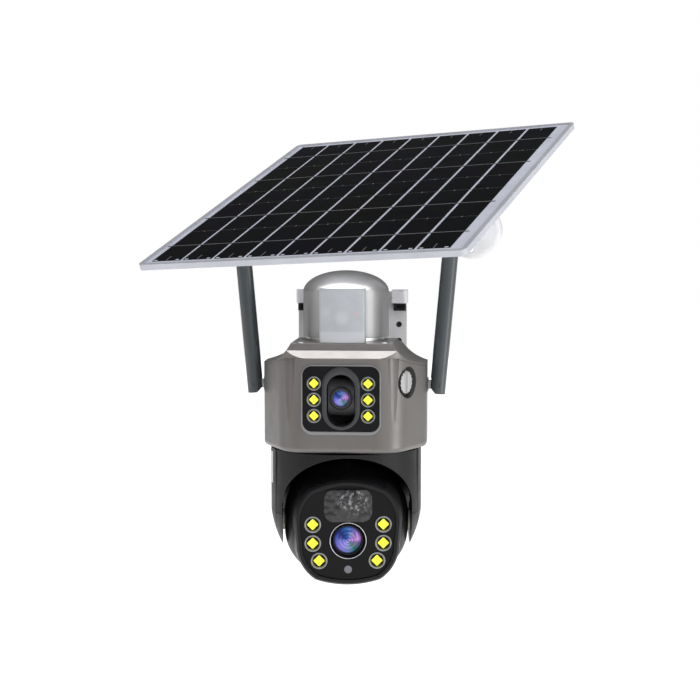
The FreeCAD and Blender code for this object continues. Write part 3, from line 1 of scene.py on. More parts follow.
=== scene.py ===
import bpy
import bmesh
import json
import math
from mathutils import Matrix, Vector


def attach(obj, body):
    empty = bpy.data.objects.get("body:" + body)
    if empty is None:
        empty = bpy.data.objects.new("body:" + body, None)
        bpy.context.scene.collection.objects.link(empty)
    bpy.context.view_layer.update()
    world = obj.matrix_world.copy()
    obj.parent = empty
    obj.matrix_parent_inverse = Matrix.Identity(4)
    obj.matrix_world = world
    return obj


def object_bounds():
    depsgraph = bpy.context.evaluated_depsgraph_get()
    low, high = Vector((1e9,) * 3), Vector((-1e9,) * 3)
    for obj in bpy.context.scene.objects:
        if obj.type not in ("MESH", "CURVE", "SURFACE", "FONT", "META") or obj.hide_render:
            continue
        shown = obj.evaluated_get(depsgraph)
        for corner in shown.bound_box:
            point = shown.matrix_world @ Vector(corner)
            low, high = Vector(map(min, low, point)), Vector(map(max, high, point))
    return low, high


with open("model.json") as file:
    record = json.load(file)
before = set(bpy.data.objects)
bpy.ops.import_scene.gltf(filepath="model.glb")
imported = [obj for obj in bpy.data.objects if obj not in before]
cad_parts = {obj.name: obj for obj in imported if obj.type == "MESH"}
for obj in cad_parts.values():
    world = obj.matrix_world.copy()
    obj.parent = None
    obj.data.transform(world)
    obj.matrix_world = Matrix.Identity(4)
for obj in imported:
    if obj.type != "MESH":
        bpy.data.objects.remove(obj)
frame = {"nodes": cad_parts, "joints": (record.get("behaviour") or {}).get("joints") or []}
cad_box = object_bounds()
nodes = frame["nodes"]
joints = {joint["name"]: joint for joint in frame["joints"]}
MM = 0.001
EDGE_ROUND = 0.0005                    # how softly moulded edges catch the light


# ---- placing things ----------------------------------------------------------------------------
def axes_matrix(origin, x_dir, y_dir, z_dir):
    """A placement from an origin and three directions."""
    matrix = Matrix((x_dir, y_dir, z_dir)).transposed().to_4x4()
    matrix.translation = origin
    return matrix


def islands(node):
    """The separate solids of a CAD node, each as (lowest corner, highest corner)."""
    mesh = nodes[node].data
    bm = bmesh.new()
    bm.from_mesh(mesh)
    bmesh.ops.remove_doubles(bm, verts=bm.verts, dist=1e-6)
    bm.verts.ensure_lookup_table()
    seen = set()
    found = []
    for start in bm.verts:
        if start.index in seen:
            continue
        stack = [start]
        seen.add(start.index)
        points = []
        while stack:
            vert = stack.pop()
            points.append(vert.co.copy())
            for edge in vert.link_edges:
                other = edge.other_vert(vert)
                if other.index not in seen:
                    seen.add(other.index)
                    stack.append(other)
        low = Vector([min(p[i] for p in points) for i in range(3)])
        high = Vector([max(p[i] for p in points) for i in range(3)])
        found.append((low, high))
    bm.free()
    return found


def at(frame_of, x, y, z):
    """A placement at a point given in millimetres in another placement's axes."""
    return frame_of @ Matrix.Translation((x * MM, y * MM, z * MM))


def middle(box):
    return (box[0] + box[1]) / 2


def head_frame():
    """The head's own axes at the tilt axis: X along the axis, Y to the back, Z up."""
    joint = joints["tilt"]
    x_dir = Vector(joint["axis"]).normalized()
    z_dir = Vector((0, 0, 1))
    return axes_matrix(Vector(joint["pos_m"]), x_dir, z_dir.cross(x_dir), z_dir)


def panel_frame():
    """The panel's own axes at the middle of its cells' faces: X across, Y to the back, Z out of the face."""
    x_dir = Vector(joints["panel_tilt"]["axis"]).normalized()
    faces = nodes["panel_laminate"].data.polygons
    broad = max(faces, key=lambda face: face.area)
    z_dir = broad.normal if broad.normal.z > 0 else -broad.normal
    y_dir = z_dir.cross(x_dir).normalized()
    corners = [v.co for v in nodes["panel_laminate"].data.vertices]
    place = axes_matrix(Vector((0, 0, 0)), x_dir, y_dir, x_dir.cross(y_dir))
    local = [place.inverted() @ c for c in corners]
    low = [min(p[i] for p in local) for i in range(3)]
    high = [max(p[i] for p in local) for i in range(3)]
    centre = place @ Vector(((low[0] + high[0]) / 2, (low[1] + high[1]) / 2, high[2]))
    place.translation = centre
    return place


HEAD = head_frame()
PANEL = panel_frame()
SHOULDER = Matrix.Translation(joints["pan"]["pos_m"]) @ Matrix.Translation((0, 0, -joints["pan"]["pos_m"][2]))
FACING_FRONT = Matrix.Rotation(math.radians(90), 4, "X")     # turns +Z to -Y


# ---- mesh helpers ------------------------------------------------------------------------------
def mesh_piece(name, bm, material, body, smooth=True, angle=35):
    """Turns a bmesh into a piece that rides on a body."""
    bmesh.ops.remove_doubles(bm, verts=bm.verts, dist=1e-7)
    bmesh.ops.recalc_face_normals(bm, faces=bm.faces)
    mesh = bpy.data.meshes.new(name)
    bm.to_mesh(mesh)
    bm.free()
    piece = bpy.data.objects.new(name, mesh)
    bpy.context.scene.collection.objects.link(piece)
    mesh.materials.append(material)
    if smooth:
        mesh.shade_smooth()
        mark_sharp(mesh, angle)
    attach(piece, body)
    return piece


def mark_sharp(mesh, degrees):
    """Keeps edges crisp where the surface turns by more than an angle."""
    bm = bmesh.new()
    bm.from_mesh(mesh)
    limit = math.radians(degrees)
    for edge in bm.edges:
        if len(edge.link_faces) == 2 and edge.calc_face_angle(0) > limit:
            edge.smooth = False
    bm.to_mesh(mesh)
    bm.free()


def lathe(bm, profile, place, segments=48):
    """Adds a surface turned about a placement's Z axis from (radius, height) points."""
    rings = []
    for radius, height in profile:
        if radius < 1e-7:
            rings.append([bm.verts.new(place @ Vector((0, 0, height)))])
            continue
        ring = []
        for step in range(segments):
            turn = 2 * math.pi * step / segments
            point = Vector((radius * math.cos(turn), radius * math.sin(turn), height))
            ring.append(bm.verts.new(place @ point))
        rings.append(ring)
    for lower, upper in zip(rings, rings[1:]):
        if len(lower) == 1 and len(upper) == 1:
            continue
        for step in range(segments):
            after = (step + 1) % segments
            if len(lower) == 1:
                bm.faces.new((lower[0], upper[step], upper[after]))
            elif len(upper) == 1:
                bm.faces.new((lower[step], lower[after], upper[0]))
            else:
                bm.faces.new((lower[step], lower[after], upper[after], upper[step]))


def block(bm, low, high, place):
    """Adds a box between two corners of a placement."""
    corners = [Vector((x, y, z))
               for z in (low[2], high[2]) for y in (low[1], high[1]) for x in (low[0], high[0])]
    v = [bm.verts.new(place @ c) for c in corners]
    for face in ((0, 1, 3, 2), (4, 6, 7, 5), (0, 4, 5, 1), (2, 3, 7, 6), (0, 2, 6, 4), (1, 5, 7, 3)):
        bm.faces.new([v[i] for i in face])


def prism(bm, outline, low, high, place):
    """Adds a closed outline of (x, y) points pushed from one height to another."""
    bottom = [bm.verts.new(place @ Vector((x, y, low))) for x, y in outline]
    top = [bm.verts.new(place @ Vector((x, y, high))) for x, y in outline]
    bm.faces.new(list(reversed(bottom)))
    bm.faces.new(top)
    count = len(outline)
    for i in range(count):
        bm.faces.new((bottom[i], bottom[(i + 1) % count], top[(i + 1) % count], top[i]))


# ---- materials ---------------------------------------------------------------------------------
def new_material(name):
    """An empty node material, its Principled shader and a node-adding helper."""
    material = bpy.data.materials.new(name)
    material.use_nodes = True
    tree = material.node_tree
    shader = tree.nodes["Principled BSDF"]
    return material, tree, shader


def add(tree, kind, **settings):
    """Adds a node and sets its own properties."""
    node = tree.nodes.new(kind)
    for key, value in settings.items():
        setattr(node, key, value)
    return node


def object_coords(tree):
    """Object coordinates in metres."""
    return add(tree, "ShaderNodeTexCoord").outputs["Object"]


def noise(tree, vector, scale, detail=4.0, roughness=0.5):
    node = add(tree, "ShaderNodeTexNoise")
    node.inputs["Scale"].default_value = scale
    node.inputs["Detail"].default_value = detail
    node.inputs["Roughness"].default_value = roughness
    tree.links.new(vector, node.inputs["Vector"])
    return node.outputs["Fac"]


def ramp(tree, factor, stops):
    """A colour ramp from (position, colour) stops."""
    node = add(tree, "ShaderNodeValToRGB")
    elements = node.color_ramp.elements
    while len(elements) > 1:
        elements.remove(elements[-1])
    elements[0].position = stops[0][0]
    elements[0].color = (*stops[0][1], 1)
    for position, colour in stops[1:]:
        element = elements.new(position)
        element.color = (*colour, 1)
    tree.links.new(factor, node.inputs["Fac"])
    return node.outputs["Color"]


def to_range(tree, factor, low, high, from_low=0.3, from_high=0.7):
    node = add(tree, "ShaderNodeMapRange")
    node.inputs["From Min"].default_value = from_low
    node.inputs["From Max"].default_value = from_high
    node.inputs["To Min"].default_value = low
    node.inputs["To Max"].default_value = high
    tree.links.new(factor, node.inputs["Value"])
    return node.outputs["Result"]


def bump(tree, shader, height, strength, distance):
    """Fine relief on top of slightly rounded edges."""
    node = add(tree, "ShaderNodeBump")
    rounded = add(tree, "ShaderNodeBevel", samples=6)
    rounded.inputs["Radius"].default_value = EDGE_ROUND
    tree.links.new(rounded.outputs["Normal"], node.inputs["Normal"])
    node.inputs["Strength"].default_value = strength
    node.inputs["Distance"].default_value = distance
    tree.links.new(height, node.inputs["Height"])
    tree.links.new(node.outputs["Normal"], shader.inputs["Normal"])


def shade(colour, amount):
    return tuple(max(0.0, c * amount) for c in colour)


def worn_material(name, colour, roughness, metallic=0.0, coat=0.0, coat_roughness=0.1, grain=900.0,
                  grain_depth=0.00004, spread=0.08, specular=0.5):
    """A solid finish with cloudy colour, broken-up gloss and a fine moulded or painted grain."""
    material, tree, shader = new_material(name)
    vector = object_coords(tree)
    clouds = noise(tree, vector, 35.0, 5.0, 0.6)
    tree.links.new(ramp(tree, clouds, [(0.3, shade(colour, 1 - spread)), (0.7, shade(colour, 1 + spread))]),
                   shader.inputs["Base Color"])
    smears = noise(tree, vector, 90.0, 6.0, 0.65)
    tree.links.new(to_range(tree, smears, roughness * 0.85, roughness * 1.15), shader.inputs["Roughness"])
    bump(tree, shader, noise(tree, vector, grain, 3.0, 0.6), 0.35, grain_depth)
    shader.inputs["Metallic"].default_value = metallic
    shader.inputs["Coat Weight"].default_value = coat
    shader.inputs["Coat Roughness"].default_value = coat_roughness
    shader.inputs["Specular IOR Level"].default_value = specular
    return material


def flake_paint(name, colour, roughness=0.34, metallic=0.75):
    """Metallic paint: tiny sparkling flakes under a soft clear coat."""
    material, tree, shader = new_material(name)
    vector = object_coords(tree)
    clouds = noise(tree, vector, 22.0, 4.0, 0.55)
    base = ramp(tree, clouds, [(0.3, shade(colour, 0.94)), (0.7, shade(colour, 1.06))])
    flakes = add(tree, "ShaderNodeTexVoronoi")
    flakes.inputs["Scale"].default_value = 3800.0
    tree.links.new(vector, flakes.inputs["Vector"])
    glints = ramp(tree, flakes.outputs["Distance"], [(0.0, (1.12, 1.12, 1.12)), (0.5, (0.95, 0.95, 0.95))])
    mix = add(tree, "ShaderNodeMix", data_type="RGBA", blend_type="MULTIPLY")
    mix.inputs["Factor"].default_value = 1.0
    tree.links.new(base, mix.inputs["A"])
    tree.links.new(glints, mix.inputs["B"])
    tree.links.new(mix.outputs["Result"], shader.inputs["Base Color"])
    tree.links.new(to_range(tree, noise(tree, vector, 120.0, 5.0), roughness * 0.9, roughness * 1.12),
                   shader.inputs["Roughness"])
    bump(tree, shader, noise(tree, vector, 1500.0, 2.0), 0.2, 0.00002)
    shader.inputs["Metallic"].default_value = metallic
    shader.inputs["Coat Weight"].default_value = 0.25
    shader.inputs["Coat Roughness"].default_value = 0.22
    return material


def vector_math(tree, operation, first, second):
    """One vector operation; the second input may be a plain triple."""
    node = add(tree, "ShaderNodeVectorMath", operation=operation)
    tree.links.new(first, node.inputs[0])
    if isinstance(second, tuple):
        node.inputs[1].default_value = second
    elif second is not None:
        tree.links.new(second, node.inputs[1])
    return node.outputs["Value"] if operation in ("LENGTH", "DOT_PRODUCT") else node.outputs["Vector"]


def mix_colours(tree, factor, first, second, blend="MIX"):
    """Mixes two colours, each a socket or a plain triple."""
    node = add(tree, "ShaderNodeMix", data_type="RGBA", blend_type=blend)
    if isinstance(factor, float):
        node.inputs["Factor"].default_value = factor
    else:
        tree.links.new(factor, node.inputs["Factor"])
    for socket, colour in ((node.inputs["A"], first), (node.inputs["B"], second)):
        if isinstance(colour, tuple):
            socket.default_value = (*colour, 1)
        else:
            tree.links.new(colour, socket)
    return node.outputs["Result"]


def local_coords(tree, place):
    """Object coordinates measured in another placement's own axes, in millimetres."""
    coords = add(tree, "ShaderNodeTexCoord")
    mapping = add(tree, "ShaderNodeMapping", vector_type="TEXTURE")
    mapping.inputs["Location"].default_value = place.translation
    mapping.inputs["Rotation"].default_value = place.to_euler()
    mapping.inputs["Scale"].default_value = (MM, MM, MM)
    tree.links.new(coords.outputs["Object"], mapping.inputs["Vector"])
    return mapping.outputs["Vector"]


def spot(tree, vector, centre, radius, soft):
    """1 inside a round spot in the XZ plane of the coordinates, fading to 0 outside it."""
    flat = vector_math(tree, "MULTIPLY", vector, (1.0, 0.0, 1.0))
    away = vector_math(tree, "SUBTRACT", flat, (centre[0], 0.0, centre[1]))
    return to_range(tree, vector_math(tree, "LENGTH", away, None), 1.0, 0.0, radius, radius + soft)


def milky_window():
    """The dome's milky window: the sensor behind it shows as faint round shadows and a paler foot."""
    material, tree, shader = new_material("milky_window")
    vector = local_coords(tree, SHOULDER)
    clouds = noise(tree, vector, 0.12, 3.0)
    colour = ramp(tree, clouds, [(0.3, (0.40, 0.415, 0.43)), (0.7, (0.44, 0.455, 0.47))])
    height = add(tree, "ShaderNodeSeparateXYZ")
    tree.links.new(vector, height.inputs[0])
    foot = to_range(tree, height.outputs["Z"], 1.0, 0.0, 12.6, 13.6)
    colour = mix_colours(tree, foot, colour, (0.50, 0.51, 0.525))
    colour = mix_colours(tree, spot(tree, vector, (0.2, 23.2), 2.6, 3.6), colour, (0.49, 0.50, 0.51))
    colour = mix_colours(tree, spot(tree, vector, (-11.6, 27.2), 1.2, 3.0), colour, (0.46, 0.47, 0.48))
    colour = mix_colours(tree, spot(tree, vector, (10.6, 26.9), 0.5, 1.8), colour, (0.54, 0.38, 0.40))
    tree.links.new(colour, shader.inputs["Base Color"])
    shader.inputs["Roughness"].default_value = 0.42
    shader.inputs["Coat Weight"].default_value = 0.25
    shader.inputs["Coat Roughness"].default_value = 0.3
    bump(tree, shader, noise(tree, vector, 1.1, 3.0), 0.25, 0.00003)
    return material


# How bright the painted coating reflections are at each share of the glass's radius.
PAINTED_REFLECTION_RINGS = [(0.0, 1.5), (0.07, 0.3), (0.13, 1.3), (0.20, 0.35), (0.30, 1.0), (0.37, 0.4), (0.54, 0.9),
                 (0.60, 0.45), (0.80, 1.0), (0.90, 0.35), (1.0, 0.02)]
# Their painted colour at each share of a turn, which ends as it starts.
PAINTED_REFLECTION_START = (0.10, 0.13, 0.55)
PAINTED_REFLECTION_TINTS = [
    (0.0, PAINTED_REFLECTION_START),
    (0.12, (0.25, 0.20, 0.75)),
    (0.25, (0.16, 0.22, 0.50)),
    (0.36, (0.01, 0.12, 0.10)),
    (0.46, (0.12, 0.08, 0.25)),
    (0.53, (0.45, 0.20, 0.60)),
    (0.62, (0.22, 0.14, 0.45)),
    (0.75, (0.03, 0.14, 0.45)),
    (0.88, (0.015, 0.03, 0.2)),
    (1.0, PAINTED_REFLECTION_START),
]


def glass_with_painted_reflections(name, place, radius):
    """Dark glass with painted coating reflections: rings whose colour changes hue round the lens's own axis,
    and which also glow.
    """
    material, tree, shader = new_material(name)
    vector = local_coords(tree, place)
    flat = vector_math(tree, "MULTIPLY", vector, (1.0 / radius, 0.0, 1.0 / radius))
    away = vector_math(tree, "LENGTH", flat, None)
    rings = ramp(tree, away, [(reach, (level, level, level)) for reach, level in PAINTED_REFLECTION_RINGS])
    parts = add(tree, "ShaderNodeSeparateXYZ")
    tree.links.new(flat, parts.inputs[0])
    turn = add(tree, "ShaderNodeMath", operation="ARCTAN2")
    tree.links.new(parts.outputs["Z"], turn.inputs[0])
    tree.links.new(parts.outputs["X"], turn.inputs[1])
    around = to_range(tree, turn.outputs["Value"], 0.0, 1.0, -math.pi, math.pi)
    painted_tint = ramp(tree, around, PAINTED_REFLECTION_TINTS)
    colour = mix_colours(tree, 1.0, rings, painted_tint, "MULTIPLY")
    tree.links.new(colour, shader.inputs["Base Color"])
    # painted reflection: the same colour also glows as emission, though the glass is no lamp
    tree.links.new(colour, shader.inputs["Emission Color"])
    shader.inputs["Emission Strength"].default_value = 0.5
    shader.inputs["Roughness"].default_value = 0.08
    shader.inputs["Coat Weight"].default_value = 0.5
    shader.inputs["Coat Roughness"].default_value = 0.02
    return material


def lamp_phosphor():
    """The lamps' yellow phosphor with a fine grain."""
    material, tree, shader = new_material("lamp_phosphor")
    vector = object_coords(tree)
    grain = noise(tree, vector, 2500.0, 3.0)
    colour = ramp(tree, grain, [(0.3, (0.80, 0.82, 0.02)), (0.7, (0.95, 0.97, 0.06))])
    tree.links.new(colour, shader.inputs["Base Color"])
    tree.links.new(colour, shader.inputs["Emission Color"])
    shader.inputs["Emission Strength"].default_value = 0.35
    shader.inputs["Roughness"].default_value = 0.5
    return material


def faceted_lens():
    """The dark motion lens: small facets with a painted reflection lighter in each one's middle, and painted
    grey glints in two spots.
    """
    material, tree, shader = new_material("faceted_lens")
    vector = local_coords(tree, HEAD)
    cells = add(tree, "ShaderNodeTexVoronoi", feature="SMOOTH_F1")
    cells.inputs["Scale"].default_value = 0.22
    cells.inputs["Randomness"].default_value = 0.55
    tree.links.new(vector, cells.inputs["Vector"])
    # facet middles lighter than their edges: painted reflection
    colour = ramp(tree, cells.outputs["Distance"],
                  [(0.1, (0.045, 0.045, 0.047)), (0.7, (0.012, 0.012, 0.013))])
    # painted glints: grey reflection spots broken into streaks
    glint_streaks = to_range(tree, noise(tree, vector, 0.35, 5.0, 0.7), 0.0, 1.0, 0.50, 0.62)
    for centre, radius in (((5.0, 22.5), 7.0), ((-3.0, 24.0), 3.0)):
        lit = spot(tree, vector, centre, radius, 4.0)
        painted_glint = add(tree, "ShaderNodeMath", operation="MULTIPLY")
        tree.links.new(lit, painted_glint.inputs[0])
        tree.links.new(glint_streaks, painted_glint.inputs[1])
        colour = mix_colours(tree, painted_glint.outputs["Value"], colour, (0.30, 0.30, 0.31))
    tree.links.new(colour, shader.inputs["Base Color"])
    shader.inputs["Roughness"].default_value = 0.16
    shader.inputs["Specular IOR Level"].default_value = 0.3
    shader.inputs["Coat Weight"].default_value = 0.3
    shader.inputs["Coat Roughness"].default_value = 0.06
    bump(tree, shader, cells.outputs["Distance"], 0.9, 0.0016)
    return material


def solar_cells():
    """Nearly black silicon: fine pale fingers across each strip, and blue, green and violet drifts."""
    material, tree, shader = new_material("solar_cells")
    vector = local_coords(tree, PANEL)
    drift = noise(tree, vector, 0.012, 2.0, 0.4)
    colour = ramp(tree, drift, [(0.30, (0.0020, 0.0040, 0.0085)), (0.45, (0.0030, 0.0022, 0.0045)),
                                (0.55, (0.0018, 0.0036, 0.0040)), (0.70, (0.0040, 0.0024, 0.0030))])
    fingers = add(tree, "ShaderNodeTexWave", wave_type="BANDS", bands_direction="Y", wave_profile="SIN")
    fingers.inputs["Scale"].default_value = 0.32
    fingers.inputs["Distortion"].default_value = 0.0
    tree.links.new(vector, fingers.inputs["Vector"])
    lines = to_range(tree, fingers.outputs["Fac"], 0.0, 0.16, 0.9, 1.0)
    colour = mix_colours(tree, lines, colour, (0.02, 0.022, 0.028))
    tree.links.new(colour, shader.inputs["Base Color"])
    tree.links.new(to_range(tree, noise(tree, vector, 0.05, 4.0), 0.22, 0.34), shader.inputs["Roughness"])
    shader.inputs["Specular IOR Level"].default_value = 0.02
    return material


GREY_PAINT = flake_paint("grey_paint", (0.170, 0.160, 0.152), roughness=0.42, metallic=0.6)
# the body's grey paint again for the dome, its colour raised as a painted highlight
GREY_PAINT_PAINTED_LIGHTER = flake_paint("dome_grey_paint_lit_copy", (0.26, 0.26, 0.26), roughness=0.34, metallic=0.7)
WHITE_PAINT = worn_material("white_paint", (0.72, 0.72, 0.73), 0.38, coat=0.2)
FRAME_WHITE = worn_material("frame_white", (0.56, 0.57, 0.63), 0.5, grain_depth=0.000004)
BLACK_SATIN = worn_material("black_satin", (0.012, 0.012, 0.013), 0.42, grain=1400.0, specular=0.22)
DARK_GREY = worn_material("dark_grey", (0.050, 0.050, 0.053), 0.45, specular=0.3)
SHIELD_GREY = worn_material("shield_grey", (0.085, 0.085, 0.088), 0.5, specular=0.3)
BLACK_GLOSS = worn_material("black_gloss", (0.006, 0.006, 0.007), 0.2, grain_depth=0.000006, specular=0.14)
ANTENNA_SLATE = worn_material("antenna_slate", (0.045, 0.055, 0.058), 0.33, coat=0.2, coat_roughness=0.25)
CHROME = worn_material("bright_plate", (0.66, 0.66, 0.66), 0.3, metallic=1.0, grain_depth=0.00001)
DULL_PLATE = worn_material("dull_plate", (0.30, 0.30, 0.305), 0.34, metallic=1.0, grain_depth=0.00001)
STEEL = worn_material("plain_steel", (0.5, 0.5, 0.5), 0.36, metallic=1.0)
NYLON = worn_material("natural_nylon", (0.74, 0.72, 0.66), 0.5)
BRASS = worn_material("turned_brass", (0.68, 0.5, 0.24), 0.3, metallic=1.0)
RUBBER = worn_material("soft_black", (0.015, 0.015, 0.015), 0.7)
BOARD_GREEN = worn_material("board_green", (0.02, 0.14, 0.06), 0.4, coat=0.4, spread=0.25)
CELL_WRAP = worn_material("cell_wrap", (0.03, 0.16, 0.42), 0.3, coat=0.4)
LABEL_WHITE = worn_material("label_white", (0.80, 0.80, 0.82), 0.5)
BACKING_WHITE = worn_material("backing_white", (0.80, 0.83, 0.95), 0.5, grain_depth=0.000004)
BUSBAR = worn_material("busbar_silver", (0.30, 0.31, 0.33), 0.4, metallic=0.6, grain_depth=0.00001)
MILKY = milky_window()
PHOSPHOR = lamp_phosphor()
FACETED = faceted_lens()
SILICON = solar_cells()


def dress(material, *names):
    """Gives CAD nodes a material."""
    for name in names:
        data = nodes[name].data
        data.materials.clear()
        data.materials.append(material)


# ---- stage, light and camera -------------------------------------------------------------------
CAMERA_TURN = math.radians(4.2)       # the camera stands this far round towards +X
CAMERA_DROP = math.radians(4.8)       # and looks down this much
CAMERA_DISTANCE = 1.093               # from the pan axis
CAMERA_HEIGHT = 0.088
CAMERA_ASIDE = 0.0029                 # the pan axis lies this far left of the middle of the view
FOCAL_TO_WIDTH = 1438.0 / 700.0
SURROUND_FILL = 0.17                  # how much the white surround lights the object
FLOOR_DROP = 2.5                      # the floor lies this far below the object
FLOOR_RADIUS = 30.0


def make_camera():
    pan = Vector(joints["pan"]["pos_m"])
    ahead = Vector((-math.sin(CAMERA_TURN), math.cos(CAMERA_TURN), 0))
    right = Vector((math.cos(CAMERA_TURN), math.sin(CAMERA_TURN), 0))
    data = bpy.data.cameras.new("camera")
    data.sensor_width = 36.0
    data.lens = data.sensor_width * FOCAL_TO_WIDTH
    data.clip_start = 0.05
    data.clip_end = 100.0
    camera = bpy.data.objects.new("camera", data)
    place = pan - ahead * CAMERA_DISTANCE + right * CAMERA_ASIDE
    camera.location = (place.x, place.y, CAMERA_HEIGHT)
    camera.rotation_euler = (math.radians(90) - CAMERA_DROP, 0, CAMERA_TURN)
    bpy.context.scene.collection.objects.link(camera)
    bpy.context.scene.camera = camera


def area_light(name, place, target, size, power, size_y=None):
    data = bpy.data.lights.new(name, "AREA")
    data.energy = power
    data.size = size
    if size_y:
        data.shape = "RECTANGLE"
        data.size_y = size_y
    light = bpy.data.objects.new(name, data)
    light.location = place
    light.rotation_euler = (Vector(target) - Vector(place)).to_track_quat("-Z", "Y").to_euler()
    light.visible_camera = False
    bpy.context.scene.collection.objects.link(light)
    return light


def only_lights(light, name, receivers):
    """Limits a lamp to the given objects."""
    lit = bpy.data.collections.new(name)
    for receiver in receivers:
        lit.objects.link(receiver)
    light.light_linking.receiver_collection = lit


BOUNCE_LIT = ("top_cover", "shoulder_housing", "arm_housing", "arm_base_ring", "cover_screws")


def make_stage():
    """A wide pale floor well below the camera, a white surround and soft studio lamps."""
    material, tree, shader = new_material("floor_white")
    vector = object_coords(tree)
    clouds = noise(tree, vector, 1.5, 3.0)
    tree.links.new(ramp(tree, clouds, [(0.3, (0.90, 0.90, 0.90)), (0.7, (0.94, 0.94, 0.94))]),
                   shader.inputs["Base Color"])
    shader.inputs["Roughness"].default_value = 0.9
    drop = cad_box[0][2] - FLOOR_DROP
    bm = bmesh.new()
    level = Matrix.Translation((0, 0, drop))
    bmesh.ops.create_circle(bm, cap_ends=True, radius=FLOOR_RADIUS, segments=64, matrix=level)
    mesh = bpy.data.meshes.new("floor")
    bm.to_mesh(mesh)
    bm.free()
    floor = bpy.data.objects.new("floor", mesh)
    mesh.materials.append(material)
    bpy.context.scene.collection.objects.link(floor)
    world = bpy.data.worlds.new("surround")
    world.use_nodes = True
    tree = world.node_tree
    seen = tree.nodes["Background"]
    seen.inputs["Color"].default_value = (1, 1, 1, 1)
    seen.inputs["Strength"].default_value = 1.0
    fill = tree.nodes.new("ShaderNodeBackground")
    fill.inputs["Color"].default_value = (1, 1, 1, 1)
    fill.inputs["Strength"].default_value = SURROUND_FILL
    path = tree.nodes.new("ShaderNodeLightPath")
    mix = tree.nodes.new("ShaderNodeMixShader")
    tree.links.new(path.outputs["Is Camera Ray"], mix.inputs["Fac"])
    tree.links.new(fill.outputs["Background"], mix.inputs[1])
    tree.links.new(seen.outputs["Background"], mix.inputs[2])
    tree.links.new(mix.outputs["Shader"], tree.nodes["World Output"].inputs["Surface"])
    bpy.context.scene.world = world
    bpy.context.scene.view_settings.view_transform = "Standard"
    floor_light(floor, drop)
    area_light("key", (0.75, -1.5, 0.45), (0, -0.07, 0), 0.9, 4.2)
    area_light("strip_left", (-1.0, -0.35, 0.0), (0, -0.07, -0.05), 0.3, 0.5, 1.0)
    area_light("strip_right", (1.1, -0.5, 0.05), (0, -0.07, -0.05), 0.5, 5, 1.0)
    area_light("above", (0.0, -0.5, 1.6), (0, -0.15, 0), 0.9, 10)
    bounce = area_light("under_panel", (0.0, -0.130, 0.075), (0, -0.128, -0.05), 0.14, 0.17, 0.05)
    only_lights(bounce, "lit_by_bounce", [nodes[name] for name in BOUNCE_LIT])


def floor_light(floor, drop):
    """A broad lamp that lights only the floor, so that it reads as pale as the surround."""
    data = bpy.data.lights.new("floor_lamp", "SUN")
    data.energy = 4.0
    data.angle = math.radians(30)
    lamp = bpy.data.objects.new("floor_lamp", data)
    lamp.location = (0, 0, 2)
    bpy.context.scene.collection.objects.link(lamp)
    only_lights(lamp, "lit_by_floor_lamp", [floor])


make_camera()
make_stage()


# ---- CAD nodes' own finishes -------------------------------------------------------------------
def dress_all():
    dress(GREY_PAINT, "top_cover", "shoulder_housing")
    dress(GREY_PAINT_PAINTED_LIGHTER, "arm_housing")
    dress(WHITE_PAINT, "wall_plate", "panel_flange", "panel_arm", "swivel_eye", "panel_bracket")
    dress(FRAME_WHITE, "panel_frame")
    dress(BLACK_SATIN, "yoke_shell", "yoke_covers", "head_front_shell", "head_rear_shell", "hook_blocks",
          "upper_lens_barrel", "head_lens_barrel", "battery_holder", "panel_junction_box")
    dress(DARK_GREY, "lens_shroud", "upper_lens_carriage")
    dress(BLACK_GLOSS, "front_window", "face_plate", "head_lens_ring")
    dress(FACETED, "head_motion_lens")
    dress(LIGHT_WINDOW, "light_sensor")
    dress(ANTENNA_SLATE, "antenna_mast_left", "antenna_mast_right")
    dress(CHROME, "arm_base_ring", "cover_screws", "service_plug")
    dress(DULL_PLATE, "window_bezel", "upper_lamp_cups", "head_lamp_cups", "antenna_knuckle_left",
          "antenna_knuckle_right")
    dress(STEEL, "motion_sensor", "speaker", "pan_motor", "tilt_motor", "pad_bolt", "hinge_bolt")
    dress(ANTENNA_SLATE, "antenna_pin_left", "antenna_pin_right")
    dress(NYLON, "pan_pinion", "pan_bearing", "pan_hub", "tilt_pins", "tilt_pinion")
    dress(BRASS, "tilt_bushes")
    dress(RUBBER, "body_seal", "charge_inlet")
    dress(BOARD_GREEN, "main_board", "camera_board")
    dress(CELL_WRAP, "battery_cells")
    dress(LABEL_WHITE, "rating_label")
    dress(BACKING_WHITE, "panel_laminate")
    dress(MILKY, "motion_window")
    dress(SILICON, "panel_cells")
    dress(UPPER_GLASS, "upper_lens_glass")
    dress(HEAD_GLASS, "head_lens_glass")


# ---- painted lens coating reflections and lamps ------------------------------------------------
UPPER_LENS = (0.0, -35.2)             # X and Z on the shoulder's front
HEAD_LENS = (0.0, -7.0)               # X and Z on the face, from the tilt axis
UPPER_GLASS = glass_with_painted_reflections("upper_lens_painted_reflections", at(SHOULDER, UPPER_LENS[0], -50.0, UPPER_LENS[1]), 6.5)
HEAD_GLASS = glass_with_painted_reflections("head_lens_painted_reflections", at(HEAD, HEAD_LENS[0], -46.0, HEAD_LENS[1]), 11.0)
LIGHT_WINDOW = worn_material("light_window", (0.16, 0.15, 0.18), 0.3, coat=0.5)


# Lamp parts, as shares of the cup's radius, then thicknesses in metres.
CUP_FLOOR = 0.20
CARRIER_REACH = 0.80
CHIP_REACH = 0.70
CARRIER_ABOVE = 0.0001
CARRIER_BELOW = 0.0004
CHIP_THICK = 0.0004
UPPER_CUP_R = 5.2
HEAD_CUP_R = 6.15
CUP_DEPTH_SHARE = 0.62                # a cup's depth as a share of its radius
CUP_RIM = 1.2                         # and what its rim adds, in millimetres


def star_outline(radius, points=48):
    """A four-pointed lamp chip: a circle drawn in between its four tips."""
    outline = []
    for step in range(points):
        turn = 2 * math.pi * step / points
        pull = 0.30 * abs(math.sin(2 * turn)) ** 0.8
        reach = min(radius * (1 - pull), 0.93 * radius)
        outline.append((reach * math.cos(turn), reach * math.sin(turn)))
    return outline


